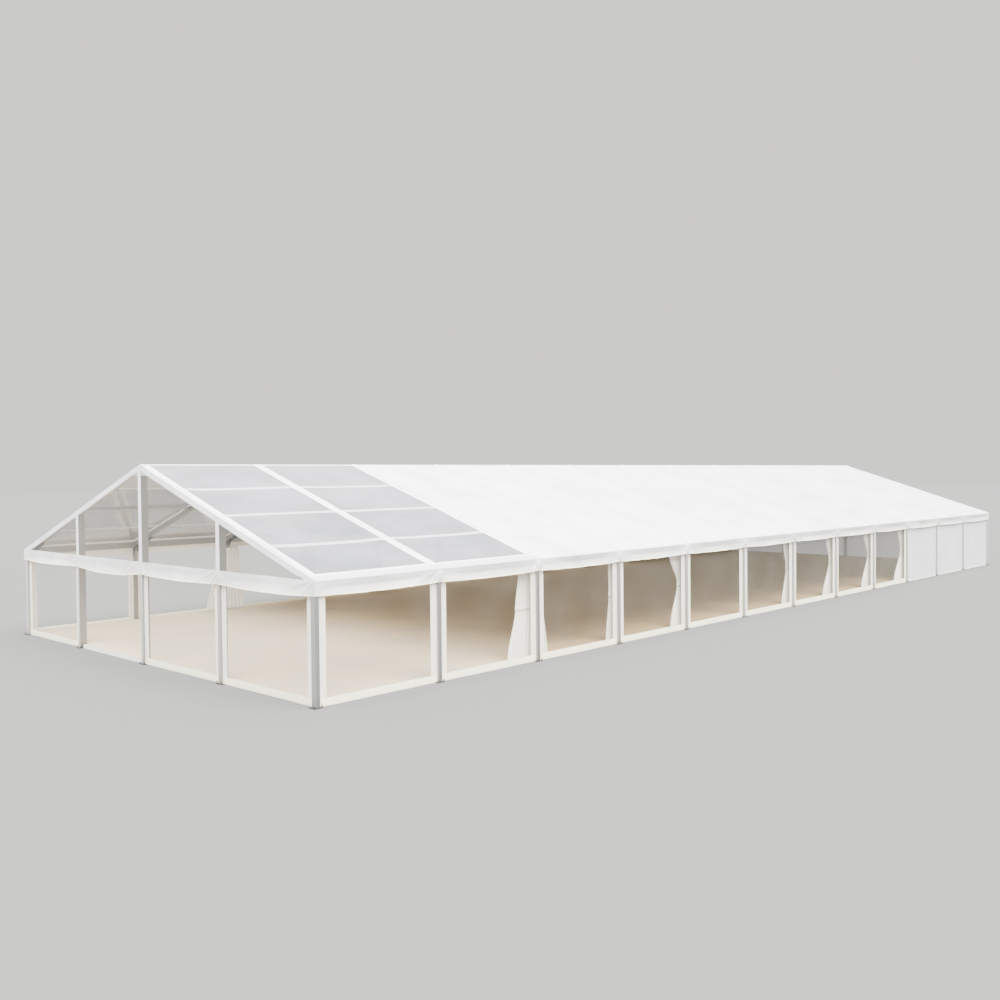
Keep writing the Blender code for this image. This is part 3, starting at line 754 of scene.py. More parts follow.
# %% Finishes on the skeleton
metal_nodes = FRAME_NODES + ["front_gable_frame", "rear_gable_frame", "ridge_purlin"]
metal_nodes += [f"{side}_{part}_purlin" for side in ("right", "left") for part in ("mid", "eave")]
for name, finish in [(name, ALUMINIUM) for name in metal_nodes] + [("floor", CARPET)]:
    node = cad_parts[name]
    node.data.materials.clear()
    node.data.materials.append(finish)
print("nodes with a new finish:", len(metal_nodes) + 1)

# %% [markdown]
# Where a leg meets its rafter the two are bolted through a pair of dark steel knee plates. One plate
# could be an object that is copied to each frame. But plates and bolts are small, all alike and never
# move, so all of them together are one mesh: an outline that is pushed out to a plate's thickness, with
# washers and bolt heads on it.

# %% Cut plates
SMOOTH_BELOW = math.radians(35.0)  # two faces meet smoothly below this angle


def add_prism(shape, outline, low, high, spot):
    """A straight-sided solid on an outline; spot turns a point of it and its height into x, y, z."""
    under = [shape.verts.new(spot(*point, low)) for point in outline]
    over = [shape.verts.new(spot(*point, high)) for point in outline]
    shape.faces.new(under)
    shape.faces.new(over)
    for k in range(len(outline)):
        after = (k + 1) % len(outline)
        shape.faces.new((under[k], under[after], over[after], over[k]))


def ring(middle, radius, count):
    """Points round a middle."""
    turns = [math.tau * k / count for k in range(count)]
    return [(middle[0] + radius * math.cos(turn), middle[1] + radius * math.sin(turn)) for turn in turns]


def finish_shape(name, shape):
    """A mesh from the shape, its normals outwards and only its flat angles smooth."""
    bmesh.ops.recalc_face_normals(shape, faces=shape.faces)
    for edge in shape.edges:
        edge.smooth = edge.calc_face_angle(0.0) < SMOOTH_BELOW
    for face in shape.faces:
        face.smooth = True
    mesh = bpy.data.meshes.new(name)
    shape.to_mesh(mesh)
    shape.free()
    return mesh


print("a ring of six points starts at", ring((0.0, 0.0), 1.0, 6)[0])

# %% Knee plates
# Each point says how far inwards of the leg's outer face and how far below the eaves it lies.
KNEE_OUTLINE = [(0.075, 0.375), (0.075, 0.16), (0.98, -0.28), (1.03, -0.15), (0.42, 0.055), (0.25, 0.125),
                (0.20, 0.205), (0.125, 0.285), (0.125, 0.375)]
KNEE_BOLTS = [(0.10, 0.335), (0.10, 0.245), (0.115, 0.175), (0.30, 0.08), (0.50, -0.01), (0.70, -0.095),
              (0.90, -0.185)]
KNEE_THICK = 0.008
KNEE_GAP = 0.0005  # to the frame's face
WASHER_RADIUS = 0.017
WASHER_THICK = 0.003
WASHER_SIDES = 16
HEAD_RADIUS = 0.0115
HEAD_THICK = 0.009
HEAD_SIDES = 6


def add_bolt(shape, middle, spot):
    """A washer on a knee plate, with a hexagon head on it."""
    on_washer = KNEE_THICK + WASHER_THICK
    add_prism(shape, ring(middle, WASHER_RADIUS, WASHER_SIDES), KNEE_THICK, on_washer, spot)
    add_prism(shape, ring(middle, HEAD_RADIUS, HEAD_SIDES), on_washer, on_washer + HEAD_THICK, spot)


def knee_spot(side, out, face):
    """A function that turns a knee point (inwards, down, off the frame's face) into x, y, z."""
    return lambda inwards, down, off: (side * (HALF_SPAN - inwards), face + out * off, EAVES - down)


knees = bmesh.new()
knee_count = 0
for y in FRAME_PLACES:
    faces_out = [out for out in (-1.0, 1.0) if abs(y + out * LEG_WIDTH / 2) < HALF_LENGTH]
    for out in faces_out:
        for side in (-1.0, 1.0):
            spot = knee_spot(side, out, y + out * (LEG_WIDTH / 2 + KNEE_GAP))
            add_prism(knees, KNEE_OUTLINE, 0.0, KNEE_THICK, spot)
            for bolt in KNEE_BOLTS:
                add_bolt(knees, bolt, spot)
            knee_count += 1
add_piece("knee_plates", finish_shape("knee_plates", knees), [STEEL])
print("knee plates:", knee_count, "on", len(FRAME_PLACES), "frames")

# %% [markdown]
# The base plates of the legs and of the front uprights are each held down by two steel pins. A cylinder
# with a wider one on top would look stamped from one block. A driven pin has a bevelled head, so its
# profile is turned round an upright axis, as on a lathe.

# %% Ground pins
PIN_PROFILE = [(0.0, PLATE_TOP), (0.010, PLATE_TOP), (0.010, 0.040), (0.0165, 0.042), (0.0165, 0.050),
               (0.010, 0.056), (0.0, 0.057)]  # radius and height
PIN_SIDES = 14
PIN_ASIDE = 0.08  # from the leg's middle
PIN_BESIDE_LEG = 0.007  # out from a side leg's outer face
PIN_BEFORE_UPRIGHT = 0.012


def add_turned(shape, profile, centre):
    """A turned solid on an upright axis; the profile's first and last radius are 0."""
    rows = []
    for radius, z in profile:
        outline = ring(centre, radius, PIN_SIDES) if radius else [centre]
        rows.append([shape.verts.new((x, y, z)) for x, y in outline])
    for low, high in zip(rows, rows[1:]):
        for k in range(PIN_SIDES):
            after = (k + 1) % PIN_SIDES
            corners = [low[k % len(low)], low[after % len(low)]]
            corners += [high[after % len(high)], high[k % len(high)]]
            shape.faces.new(list(dict.fromkeys(corners)))


pin_places = [(side * (HALF_SPAN + PIN_BESIDE_LEG), y + step) for side in (-1.0, 1.0) for y in FRAME_PLACES
              for step in (-PIN_ASIDE, PIN_ASIDE)]
pin_places += [(x + step, -END_FACE - PIN_BEFORE_UPRIGHT) for x in UPRIGHT_PLACES
               for step in (-PIN_ASIDE, PIN_ASIDE)]
pins = bmesh.new()
for place in pin_places:
    add_turned(pins, PIN_PROFILE, place)
add_piece("ground_pins", finish_shape("ground_pins", pins), [STEEL])
print("ground pins:", len(pin_places))

# %% [markdown]
# Each bay's roof is one sheet from eave to eave. Its side edges sit in the rafters' tracks, and it rests
# on the ridge rail, the halfway rails and the eave rails, so it only sags a little between them. The two
# front bays are clear film with white cloth welded along the edges and in three bands down each slope.
# Separate strips could be laid on top, but on the real sheet film and cloth are one surface, so the
# faces between two grid lines simply get the other finish.

# %% Where the roof lies
ROOF_SKIN = 0.005  # above the rafters
EAVE_LIP = 0.03  # how far the sheet's edge turns down
ROOF_EDGE = HALF_SPAN + 0.0165
SLOPE = ROOF_EDGE / math.cos(PITCH)
RAILS = (0.0, HALF_SPAN / 2, HALF_SPAN - 0.03)  # the rails' middles, from the ridge outwards
EAVE_BULGE = 0.034  # how far the edge stands out halfway between two legs
BULGE_TALL = 0.25  # how far up the slope that starts
print("a slope is", round(SLOPE, 3), "m from ridge to edge")

# %% How the roof sags and peaks
SAG = 0.022  # between two rails
SAG_CHANGE = 0.014  # more or less of it from place to place
RIPPLE = 0.004
TRACK_PULL = 0.010  # creases that the tracks pull up
SEAM_DIP = 0.004  # the sheet's edges lie lower, in their tracks
CROWN = 0.010  # the fold over the ridge is rounded down by this much
CROWN_WIDTH = 0.12
FURROW = 0.012  # a shallow trough beside each rafter
FURROW_ASIDE = 0.13
FURROW_WIDTH = 0.055
RIDGE_PEAK = (0.020, 0.10, 0.22)  # a rafter holds the cloth up at the ridge: height, width, length
EAVE_PEAK = (0.016, 0.07, 0.10)  # and at the eave


def roof_peaks(down, y, aside):
    """How far a rafter lifts the cloth at the ridge and at the eave."""
    off_seam = min(abs(y - place) for place in FRAME_PLACES[1:-1])
    height, width, length = RIDGE_PEAK
    at_ridge = height * hump(aside, width) * hump(down, length)
    height, width, length = EAVE_PEAK
    return at_ridge + height * hump(off_seam, width) * hump(SLOPE - min(down, SLOPE), length)


def roof_lift(across, y, share, aside, seed):
    """How far the sheet lies above or below its plain slope; aside is the distance to its near track."""
    down = abs(across)
    x = min(down, SLOPE) * math.cos(PITCH)
    between = math.sin(math.pi * x / (HALF_SPAN / 2)) ** 2
    sag = (SAG + SAG_CHANGE * drift(across * 0.4, y * 0.5, seed)) * between * held_at_ends(share, 0.25)
    ripple = RIPPLE * drift(across * 1.3, y * 0.9, seed + 5) * held_at_ends(share, 0.08)
    pull = TRACK_PULL * abs(drift(across * 2.4, seed)) * (1.0 - held_at_ends(share, 0.12))
    dip = SEAM_DIP * (1.0 - held_at_ends(share, 0.008))
    crown = CROWN * max(0.0, 1.0 - down / CROWN_WIDTH) ** 2
    uneven = 0.6 + 0.8 * abs(drift(across * 0.8, y, seed + 3))
    furrow = FURROW * hump(aside - FURROW_ASIDE, FURROW_WIDTH) * uneven
    return pull + ripple + roof_peaks(down, y, aside) - furrow - sag - dip - crown


print("the middle of a field lies", round(-roof_lift(1.7, 1.5, 0.5, 1.5, 4), 3), "m below its plain slope")

# %% A point of the roof
REST = 0.08  # the cloth lies on a rail or rafter this near to its middle
PRESS = 0.003  # how deep it may press there
FALL = 0.25  # and how steeply it may fall away beside it


def roof_point(across, y, start, end, seed):
    """A point of one roof sheet: across is the distance down the slope from the ridge, signed by side."""
    down = abs(across)
    side = 1.0 if across >= 0.0 else -1.0
    along = min(down, SLOPE)
    x = along * math.cos(PITCH)
    share = (y - start) / (end - start)
    aside = min(y - start, end - y)
    off_rail = min(abs(x - rail) for rail in RAILS)
    lowest = -PRESS - FALL * max(0.0, min(off_rail, aside) - REST)
    z = RIDGE - RISE * x + ROOF_SKIN + max(roof_lift(across, y, share, aside, seed), lowest)
    bulge = EAVE_BULGE * arch(share) * max(0.0, 1.0 - (SLOPE - along) / BULGE_TALL) ** 2
    return (side * (x + bulge), y, z - max(0.0, down - SLOPE))


print("the ridge of a sheet is", round(roof_point(0.0, 1.5, 0.0, BAY, 4)[2], 3), "m up")

# %% Film, bands and borders
SEAM_GAP = 0.012  # the strip of rafter that shows between two sheets
CLEAR_GAP = 0.002  # and beside a clear one
HEM = 0.05  # the folded edge that slides in a track
SIDE_BORDER = 0.12
FRONT_BORDER = 0.20
EAVE_BORDER = 0.27
EAVE_WELD = 0.07  # the double cloth along the film's lower edge
RIDGE_BORDER = 0.06
BAND = 0.13
BAND_MIDDLES = [SLOPE * k / 4 for k in (1, 2, 3)]


def seam_gap(k):
    """The gap over frame k."""
    return CLEAR_GAP if 0 < k <= CLEAR_ROOF_BAYS else SEAM_GAP


def clear_roof_zone(across, y, start, end, first_border):
    """0 for film, 1 for white cloth, 2 for weld tape and 3 for border cloth, at a point of a clear bay."""
    down = abs(across)
    if down > SLOPE - EAVE_BORDER + EAVE_WELD or y < HEM - END_FACE:
        return 3
    if y - start < first_border or end - y < SIDE_BORDER:
        return 1
    if down < RIDGE_BORDER or down > SLOPE - EAVE_BORDER:
        return 1
    return 2 if any(abs(down - middle) < BAND / 2 for middle in BAND_MIDDLES) else 0


def white_roof_zone(y, start, end):
    """1 for the folded edge in its track, greyer with painted shade, and 0 for the sheet, at a point of a
    white bay.
    """
    return int(min(y - start, end - y) < HEM)


print("bands down the slope at", [round(middle, 2) for middle in BAND_MIDDLES])

# %% Twelve roof sheets
END_LAP = 0.0063  # how far the end sheets reach past the end frames
TRACK_ROW = 0.02  # the first row of faces beside a track
ROOF_STEP = 0.075  # faces are no longer than this along the tent
SLOPE_STEP = 0.10  # and down the slope
half_lines = [0.0, RIDGE_BORDER]
for middle in BAND_MIDDLES:
    half_lines += [middle - BAND / 2, middle + BAND / 2]
half_lines += [SLOPE - EAVE_BORDER, SLOPE - EAVE_BORDER + EAVE_WELD, SLOPE, SLOPE + EAVE_LIP]
down_lines = stations([-line for line in reversed(half_lines[1:])] + half_lines, SLOPE_STEP)
for k in range(BAY_COUNT):
    start = FRAME_PLACES[k] + seam_gap(k) / 2 if k else -END_FACE - END_LAP
    end = FRAME_PLACES[k + 1] - seam_gap(k + 1) / 2 if k < BAY_COUNT - 1 else END_FACE + END_LAP
    first_border = SIDE_BORDER if k else FRONT_BORDER
    edges = [start, start + TRACK_ROW, start + HEM, start + first_border]
    edges += [end - SIDE_BORDER, end - HEM, end - TRACK_ROW, end]
    clear = k < CLEAR_ROOF_BAYS
    mesh = grid_mesh(
        f"roof_sheet_{k + 1:02d}", down_lines, stations(edges, ROOF_STEP),
        lambda across, y: roof_point(across, y, start, end, k),
        (lambda across, y: clear_roof_zone(across, y, start, end, first_border)) if clear
        else (lambda across, y: white_roof_zone(y, start, end)))
    finishes = [ROOF_FILM, ROOF_CLOTH, WELD_TAPE, BORDER_CLOTH] if clear else [ROOF_CLOTH, HEM_AND_SEAM_SHADE_CLOTH]
    sheet = add_piece(mesh.name, mesh, finishes,
                      [f"roof_panel_{k + 1:02d}"])
print("roof sheet:", len(mesh.polygons), "faces, cut", round(2 * (SLOPE + EAVE_LIP), 2), "by", BAY)

# %% [markdown]
# Under the roof's edge hangs the valance, a short strip of cloth that hides the rail and the tops of the
# walls. It is a little fuller than it needs to be, so it hangs in shallow, uneven folds, and creases fan
# out from the legs, where it is tied. Each bay has its own strip. A cloth simulation could drop it into
# place, but where the folds start and how deep the hem sags is known, and a function sets both.

# %% Fans of creases at the ties
STRIP_TALL = 0.28
FANS = ((3, 0.007, 0.35), (4, 0.014, 0.75))  # ridges, height and reach, at a strip's start and end
FAN_FROM = 0.10  # radians below level of the first ridge
FAN_SPREAD = 1.15
RIDGE_WIDTHS = (0.05, 0.11)  # in radians
RIDGE_HEIGHTS = (0.4, 1.3)  # as a share of the fan's height
FAN_POINT = 0.03  # the ridges start this far behind and above the tie


def fold_fan(seed, count, height):
    """Ridges that run out from where a strip is tied: the slope of each, its width and its height."""
    chance = random.Random(seed)
    return [(FAN_FROM + FAN_SPREAD * (k + chance.random()) / count, chance.uniform(*RIDGE_WIDTHS),
             height * chance.uniform(*RIDGE_HEIGHTS)) for k in range(count)]


def fan_height(fan, away, down, reach):
    """How far the ridges of a fan stand out at a distance beside and below the tie."""
    angle = math.atan2(down + FAN_POINT, away + FAN_POINT)
    ridges = sum(height * hump(angle - slope, width) for slope, width, height in fan)
    return ridges * min(1.0, away / 0.08) * math.exp(-away / reach)


print("slopes of a fan's ridges:", [round(ridge[0], 2) for ridge in fold_fan(1, 3, 0.007)])

# %% How a strip of valance hangs
CORNER_REACH = 0.012  # how far a strip stands out where it meets another at a corner
POST_REACH = 0.004  # and where it passes over any other post
KNOB = 0.030  # how far the cloth stands out over the end of a rafter
TIE_WIDTH = 0.06
HEM_FLARE = 0.042  # how far the hem stands out halfway between two ties
FOLD = 0.008
BROAD_FOLDS = 13.0  # radians to a metre of cloth
NARROW_FOLDS = 29.0
CRUMPLE = 0.004
HEM_WAVER = 0.008  # how uneven the hem is, slowly
HEM_RIPPLE = 0.006  # and from hand to hand


def strip_folds(here, seed):
    """Uneven folds along a strip, from -0.75 to 0.75."""
    broad = math.sin(here * BROAD_FOLDS + 2.6 * drift(here * 1.6, seed))
    narrow = math.sin(here * NARROW_FOLDS + 3.0 * drift(here * 2.3, seed + 3))
    return broad * 0.5 + narrow * 0.25


def valance_point(along, drop, length, seed, bulge, low, fans, reaches):
    """How far out and down a strip lies: along it from 0 to 1, and from 0 at its top to 1 at its hem."""
    here = along * length
    ends = (here, length - here)
    neck = 1.0 - min(1.0, drop / 0.5) ** 1.5
    flare = max(0.0, (drop - 0.5) / 0.5) ** 1.5
    out = (bulge * EAVE_BULGE * neck + HEM_FLARE * flare) * arch(along)
    out += FOLD * drop * (0.3 + 0.7 * held_at_ends(along, 0.07)) * strip_folds(here, seed)
    for fan, away, (count, height, fan_reach) in zip(fans, ends, FANS):
        out += fan_height(fan, away, drop * STRIP_TALL, fan_reach) * math.sqrt(drop)
    for away, reach in zip(ends, reaches):
        knob = KNOB * bulge if reach == POST_REACH else 0.0
        out += (reach + knob * math.sin(math.pi * drop)) * hump(away, TIE_WIDTH)
    out += CRUMPLE * drift(here * 3.0, drop * 3.0, seed) * min(1.0, min(ends) / 0.05)
    uneven = HEM_WAVER * drift(here * 1.4, seed + 9) + HEM_RIPPLE * drift(here * 5.0, seed + 11)
    return out, (low * arch(along) + uneven) * drop


print("the hem stands out", HEM_FLARE, "m between two ties, give or take", 0.75 * FOLD)

# %% One strip of valance
SOLID_SAG = 0.02  # the solid valance's hem hangs this much lower between two legs
VALANCE_FOOT = corners_of("right_valance")[0][2] + SOLID_SAG
VALANCE_HEAD = RIDGE - RISE * ROOF_EDGE - 0.004
VALANCE_STEP = 0.02  # faces are no bigger than this
HEM_TURN = 0.02
LOW_HEM = 0.022  # how much lower the hem hangs between two ties


def add_valance(name, node, start, end, spot, seed, reaches, flip=False, bulge=1.0, low=LOW_HEM, slack=1.0):
    """One strip between two posts; spot turns (out, along, up) into x, y, z."""
    length = end - start
    tall = VALANCE_HEAD - VALANCE_FOOT
    fans = [fold_fan(seed * 2 + 1 + k, count, height * slack)
            for k, (count, height, reach) in enumerate(FANS)]

    def place(u, v):
        drop = (VALANCE_HEAD - v) / tall
        out, droop = valance_point((u - start) / length, drop, length, seed, bulge, low, fans, reaches)
        return spot(out, u, v - droop)

    levels = stations([VALANCE_FOOT, VALANCE_FOOT + HEM_TURN, VALANCE_HEAD], VALANCE_STEP)
    # The hem turn gets the kicker cloth, with its painted bounce light.
    mesh = grid_mesh(name, stations([start, end], VALANCE_STEP), levels, place,
                     lambda u, v: int(v < VALANCE_FOOT + HEM_TURN), flip)
    strip = add_piece(name, mesh, [VALANCE_CLOTH, BOUNCE_LIT_KICKER_CLOTH], [node])


print("valance from", round(VALANCE_FOOT, 3), "to", round(VALANCE_HEAD, 3))

# %% All the valances
SIDE_PLANE = HALF_SPAN + 0.0125
END_PLANE = END_FACE + 0.0135
GABLE_LOWS = {"front": (0.035, 0.085, 0.035, 0.04), "rear": (LOW_HEM,) * GABLE_BAYS}
GABLE_SLACK = 1.7  # the gables' strips are creased more deeply


def post_reaches(k, count):
    """How far strip k of a row of strips stands out at its two ends."""
    return (POST_REACH if k else CORNER_REACH, POST_REACH if k < count - 1 else CORNER_REACH)


for side, turn_side, first_seed in (("right", 1.0, 0), ("left", -1.0, 50)):
    for k in range(BAY_COUNT):
        start = FRAME_PLACES[k] if k else -END_PLANE - CORNER_REACH
        end = FRAME_PLACES[k + 1] if k < BAY_COUNT - 1 else END_PLANE + CORNER_REACH
        add_valance(f"{side}_valance_{k + 1:02d}", f"{side}_valance", start, end,
                    lambda out, along, up: (turn_side * (SIDE_PLANE + out), along, up), first_seed + k,
                    post_reaches(k, BAY_COUNT), flip=turn_side < 0)
for end_name, turn_end in (("front", -1.0), ("rear", 1.0)):
    for k in range(GABLE_BAYS):
        start = GABLE_PLACES[k] if k else -SIDE_PLANE - CORNER_REACH
        end = GABLE_PLACES[k + 1] if k < GABLE_BAYS - 1 else SIDE_PLANE + CORNER_REACH
        add_valance(f"{end_name}_valance_{k + 1}", f"{end_name}_valance", start, end,
                    lambda out, along, up: (along, turn_end * (END_PLANE + out), up), 40 + k,
                    post_reaches(k, GABLE_BAYS), flip=turn_end > 0, bulge=0.0, low=GABLE_LOWS[end_name][k],
                    slack=GABLE_SLACK)
print("valance strips:", 2 * BAY_COUNT + 2 * GABLE_BAYS)

# %% [markdown]
# Nine bays on each side are windows: a sheet with a white margin beside each leg, a white kicker strip
# along its foot and clear film between. The last three bays are plain white sheets, hung a little full.
# The sheets run in tracks on the legs, 45 mm behind the legs' outer faces, so each leg shows as a grey
# line. A Wave modifier could ripple a plane, but its ripples would run into the tracks as well. Here
# they die out where the sheet is held.

# %% How a wall sheet waves
SLOW_WAVE = 0.006
BROAD_PLEATS = 10.5  # radians to a metre of cloth
NARROW_PLEATS = 24.0
NARROW_SHARE = 0.35  # how deep the narrow pleats are beside the broad ones
TRACK_TUG = 0.0015  # small puckers beside the tracks
TAUT = 0.0006  # depth of the pleats in a window sheet
FULL = 0.013  # in a plain side sheet
SNUG = 0.004  # and in a plain gable sheet


def wall_wave(here, up, along, drop, seed, fullness):
    """How far a wall sheet bellies out: still at its tracks and head, freer lower down."""
    free = held_at_ends(along, 0.10) * (0.35 + 0.65 * drop)
    slow = SLOW_WAVE * drift(here * 0.8, up * 0.5, seed)
    broad = math.sin(here * BROAD_PLEATS + 2.6 * drift(here * 0.9, seed + 2))
    narrow = math.sin(here * NARROW_PLEATS + 2.2 * drift(here * 1.1, seed + 3))
    tug = TRACK_TUG * math.sin(up * 9.0 + seed) * math.exp(-min(along, 1.0 - along) * 40.0)
    return free * (slow + fullness * (broad + narrow * NARROW_SHARE)) + tug * held_at_ends(along, 0.01)


print("deepest pleat of a plain sheet:", round(FULL * (1.0 + NARROW_SHARE), 4))

# %% A wall sheet
KICKER = 0.155  # top of the white strip along the foot
WINDOW_TOP = 2.005
MARGIN = 0.17  # the white strip beside a window
WINDOW_STEP = 0.045  # faces of a window sheet are no wider than this
PLAIN_STEP = 0.03
WALL_ROW = 0.07  # and no face is taller


def window_zone(beside, up):
    """0 for a window's margin, 1 for its film and 2 for its kicker; beside is the way to its near edge."""
    if up < KICKER:
        return 2
    return int(beside > MARGIN and up < WINDOW_TOP)


def plain_zone(beside, up):
    """1 for the hem of a plain sheet, greyer with painted shade, and 0 for the sheet."""
    return int(beside < HEM or up < SHEET_FOOT + HEM)


def add_wall(name, nodes, start, end, spot, seed, window=True, fullness=TAUT, flip=False):
    """One wall sheet between two posts, with a window in it or plain."""
    length = end - start

    def place(u, v):
        drop = (BEAM_FOOT - v) / (BEAM_FOOT - SHEET_FOOT)
        return spot(wall_wave(u, v, (u - start) / length, drop, seed, fullness), u, v)

    if window:
        zone, strip, step = window_zone, MARGIN, WINDOW_STEP
        rows = [SHEET_FOOT, KICKER, WINDOW_TOP, BEAM_FOOT]
        finishes = [MARGIN_CLOTH, WINDOW_FILM, BOUNCE_LIT_KICKER_CLOTH]
    else:
        zone, strip, step = plain_zone, HEM, PLAIN_STEP
        rows = [SHEET_FOOT, SHEET_FOOT + HEM, BEAM_FOOT]
        finishes = [SHADED_WALL_CLOTH, HEM_AND_SEAM_SHADE_CLOTH]
    columns = stations([start, start + strip, end - strip, end], step)
    mesh = grid_mesh(name, columns, stations(rows, WALL_ROW), place,
                     lambda u, v: zone(min(u - start, end - u), v), flip)
    sheet = add_piece(name, mesh, finishes, nodes)


print("a window is", round(WINDOW_TOP - KICKER, 3), "m tall in a sheet of", round(BEAM_FOOT - SHEET_FOOT, 3))

# %% Windows and plain sheets of the sides
WINDOW_BAYS = round((corners_of("right_closed_wall")[0][1] + HALF_LENGTH) / BAY)
WALL_OUT = 0.045  # sheet to the legs' outer faces
WALL_GAP = 0.001  # sheet's edge to the leg beside it
FROM_POST = LEG_WIDTH / 2 + WALL_GAP
for side, turn_side in (("right", 1.0), ("left", -1.0)):
    for k in range(BAY_COUNT):
        window = k < WINDOW_BAYS
        nodes = [f"{side}_window_wall", f"{side}_window_film"] if window else [f"{side}_closed_wall"]
        kind = "window" if window else "closed"
        add_wall(f"{side}_{kind}_sheet_{k + 1:02d}", nodes, FRAME_PLACES[k] + FROM_POST,
                 FRAME_PLACES[k + 1] - FROM_POST,
                 lambda out, along, up: (turn_side * (HALF_SPAN - WALL_OUT + out), along, up),
                 k + 20 * turn_side, window, TAUT if window else FULL,
                 flip=turn_side < 0)
print("side wall sheets:", 2 * BAY_COUNT, "of which windows:", 2 * WINDOW_BAYS)

# %% [markdown]
# Three bays of the front gable have windows like those of the sides and one bay is open. Above the beam
# is one large triangle of film, with white cloth welded over each upright, along the rafters and along
# its foot. The rear gable has the same parts in plain white cloth. A triangle could be cut from a square
# grid with a Boolean, but its borders would then cross the faces. Rows that follow the slope keep them
# clean.

# %% Front and rear gable walls
ENTRANCE_BAY = 1  # the open bay, counted from 0 at the left corner
REAR_GAP = 0.004  # from the rear frame's face to the sheet
REAR_PRESS = 0.002  # how much nearer the sheet may come to it
front_edges = [-LEG_INNER, *UPRIGHT_PLACES, LEG_INNER]
front_windows = [k for k in range(GABLE_BAYS) if k != ENTRANCE_BAY]
for k in front_windows:
    start = front_edges[k] + (FROM_POST if k else WALL_GAP)
    end = front_edges[k + 1] - (FROM_POST if k < GABLE_BAYS - 1 else WALL_GAP)
    add_wall(f"front_window_sheet_{k + 1}", ["front_window_wall", "front_window_film"], start, end,
             lambda out, along, up: (along, -(END_FACE - WALL_OUT + out), up), 60 + k)
for k in range(GABLE_BAYS):
    add_wall(f"rear_wall_sheet_{k + 1}", ["rear_gable_wall"], GABLE_PLACES[k] + SEAM_GAP / 2,
             GABLE_PLACES[k + 1] - SEAM_GAP / 2,
             lambda out, along, up: (along, END_FACE + REAR_GAP + max(out, -REAR_PRESS), up), 70 + k,
             False, SNUG, flip=True)
print("gable wall sheets:", len(front_windows) + GABLE_BAYS)

# %% How a triangle lies
FOOT_BORDER = 0.14
RAFTER_BORDER = 0.12
NARROWEST = 0.45  # in the corners a border takes this share of the height
STRIP_HALF = 0.065  # half the strip over an upright
TRIANGLE_SKIN = 0.0035  # sheet to the end frame's face
TRIANGLE_WAVE = 0.005
CORNER_PULL = 0.006  # the height of the creases that run out of the eave corners
CORNER_CREASES = 62.0  # radians of wave to a radian of turn
CREASE_RUN = 1.8


def triangle_top(x):
    """Height of the triangle's upper edge."""
    return RIDGE - RISE * abs(x)


def corner_creases(x, z):
    """Creases that fan out of the near eave corner and fade with the distance to it."""
    across, up = HALF_SPAN - abs(x), z - BEAM_FOOT
    return math.sin(math.atan2(up, across) * CORNER_CREASES) * math.exp(-math.hypot(across, up) / CREASE_RUN)


def triangle_point(x, row, turn_end):
    """row runs from 0 to 1 in the foot border, 1 to 2 in the film and 2 to 3 along the rafter."""
    top = triangle_top(x)
    room = (top - BEAM_FOOT) * NARROWEST
    levels = (BEAM_FOOT, BEAM_FOOT + min(FOOT_BORDER, room), top - min(RAFTER_BORDER, room), top)
    step = min(int(row), 2)
    z = levels[step] + (levels[step + 1] - levels[step]) * (row - step)
    free = held_at_ends((x % GABLE_STEP) / GABLE_STEP, 0.15) * held_at_ends(row / 3.0, 0.2)
    wave = TRIANGLE_WAVE * drift(x * 0.9, z * 0.9, 90.0 + turn_end) + CORNER_PULL * corner_creases(x, z)
    return (x, turn_end * (END_FACE + TRIANGLE_SKIN + free * wave), z)


def triangle_zone(x, row):
    """1 for the strips over the uprights and along the edges, and 0 between them."""
    over_upright = any(abs(x - place) < STRIP_HALF for place in UPRIGHT_PLACES)
    return int(over_upright or not 1.0 < row < 2.0)


print("the triangle is", round(triangle_top(0.0) - BEAM_FOOT, 3), "m tall")

# %% The two triangles
cross_edges = [-HALF_SPAN]
for place in UPRIGHT_PLACES:
    cross_edges += [place - STRIP_HALF, place, place + STRIP_HALF]
cross_edges.append(HALF_SPAN)
rows = stations([0.0, 1.0], 0.34) + stations([1.0, 2.0], 0.04)[1:] + stations([2.0, 3.0], 0.34)[1:]
for end_name, turn_end in (("front", -1.0), ("rear", 1.0)):
    front = end_name == "front"
    mesh = grid_mesh(f"{end_name}_triangle_sheet", stations(cross_edges, 0.08), rows,
                     lambda x, row: triangle_point(x, row, turn_end), triangle_zone, not front)
    # At the rear the strips get the hem cloth, with its painted shade.
    triangle = add_piece(mesh.name, mesh, [WINDOW_FILM, ROOF_CLOTH] if front else [SHADED_WALL_CLOTH, HEM_AND_SEAM_SHADE_CLOTH],
                         [f"{end_name}_gable_infill"])

# %% [markdown]
# Ivory curtains hang at the legs, gathered on a rail and tied back at about half height, so each is
# drawn in like an hourglass. The folds are many at the head, squeeze together at the tie and open out to
# the hem. A cloth simulation could find that shape, but a fold line whose width changes with height
# gives the same form in an instant and the same one every time.

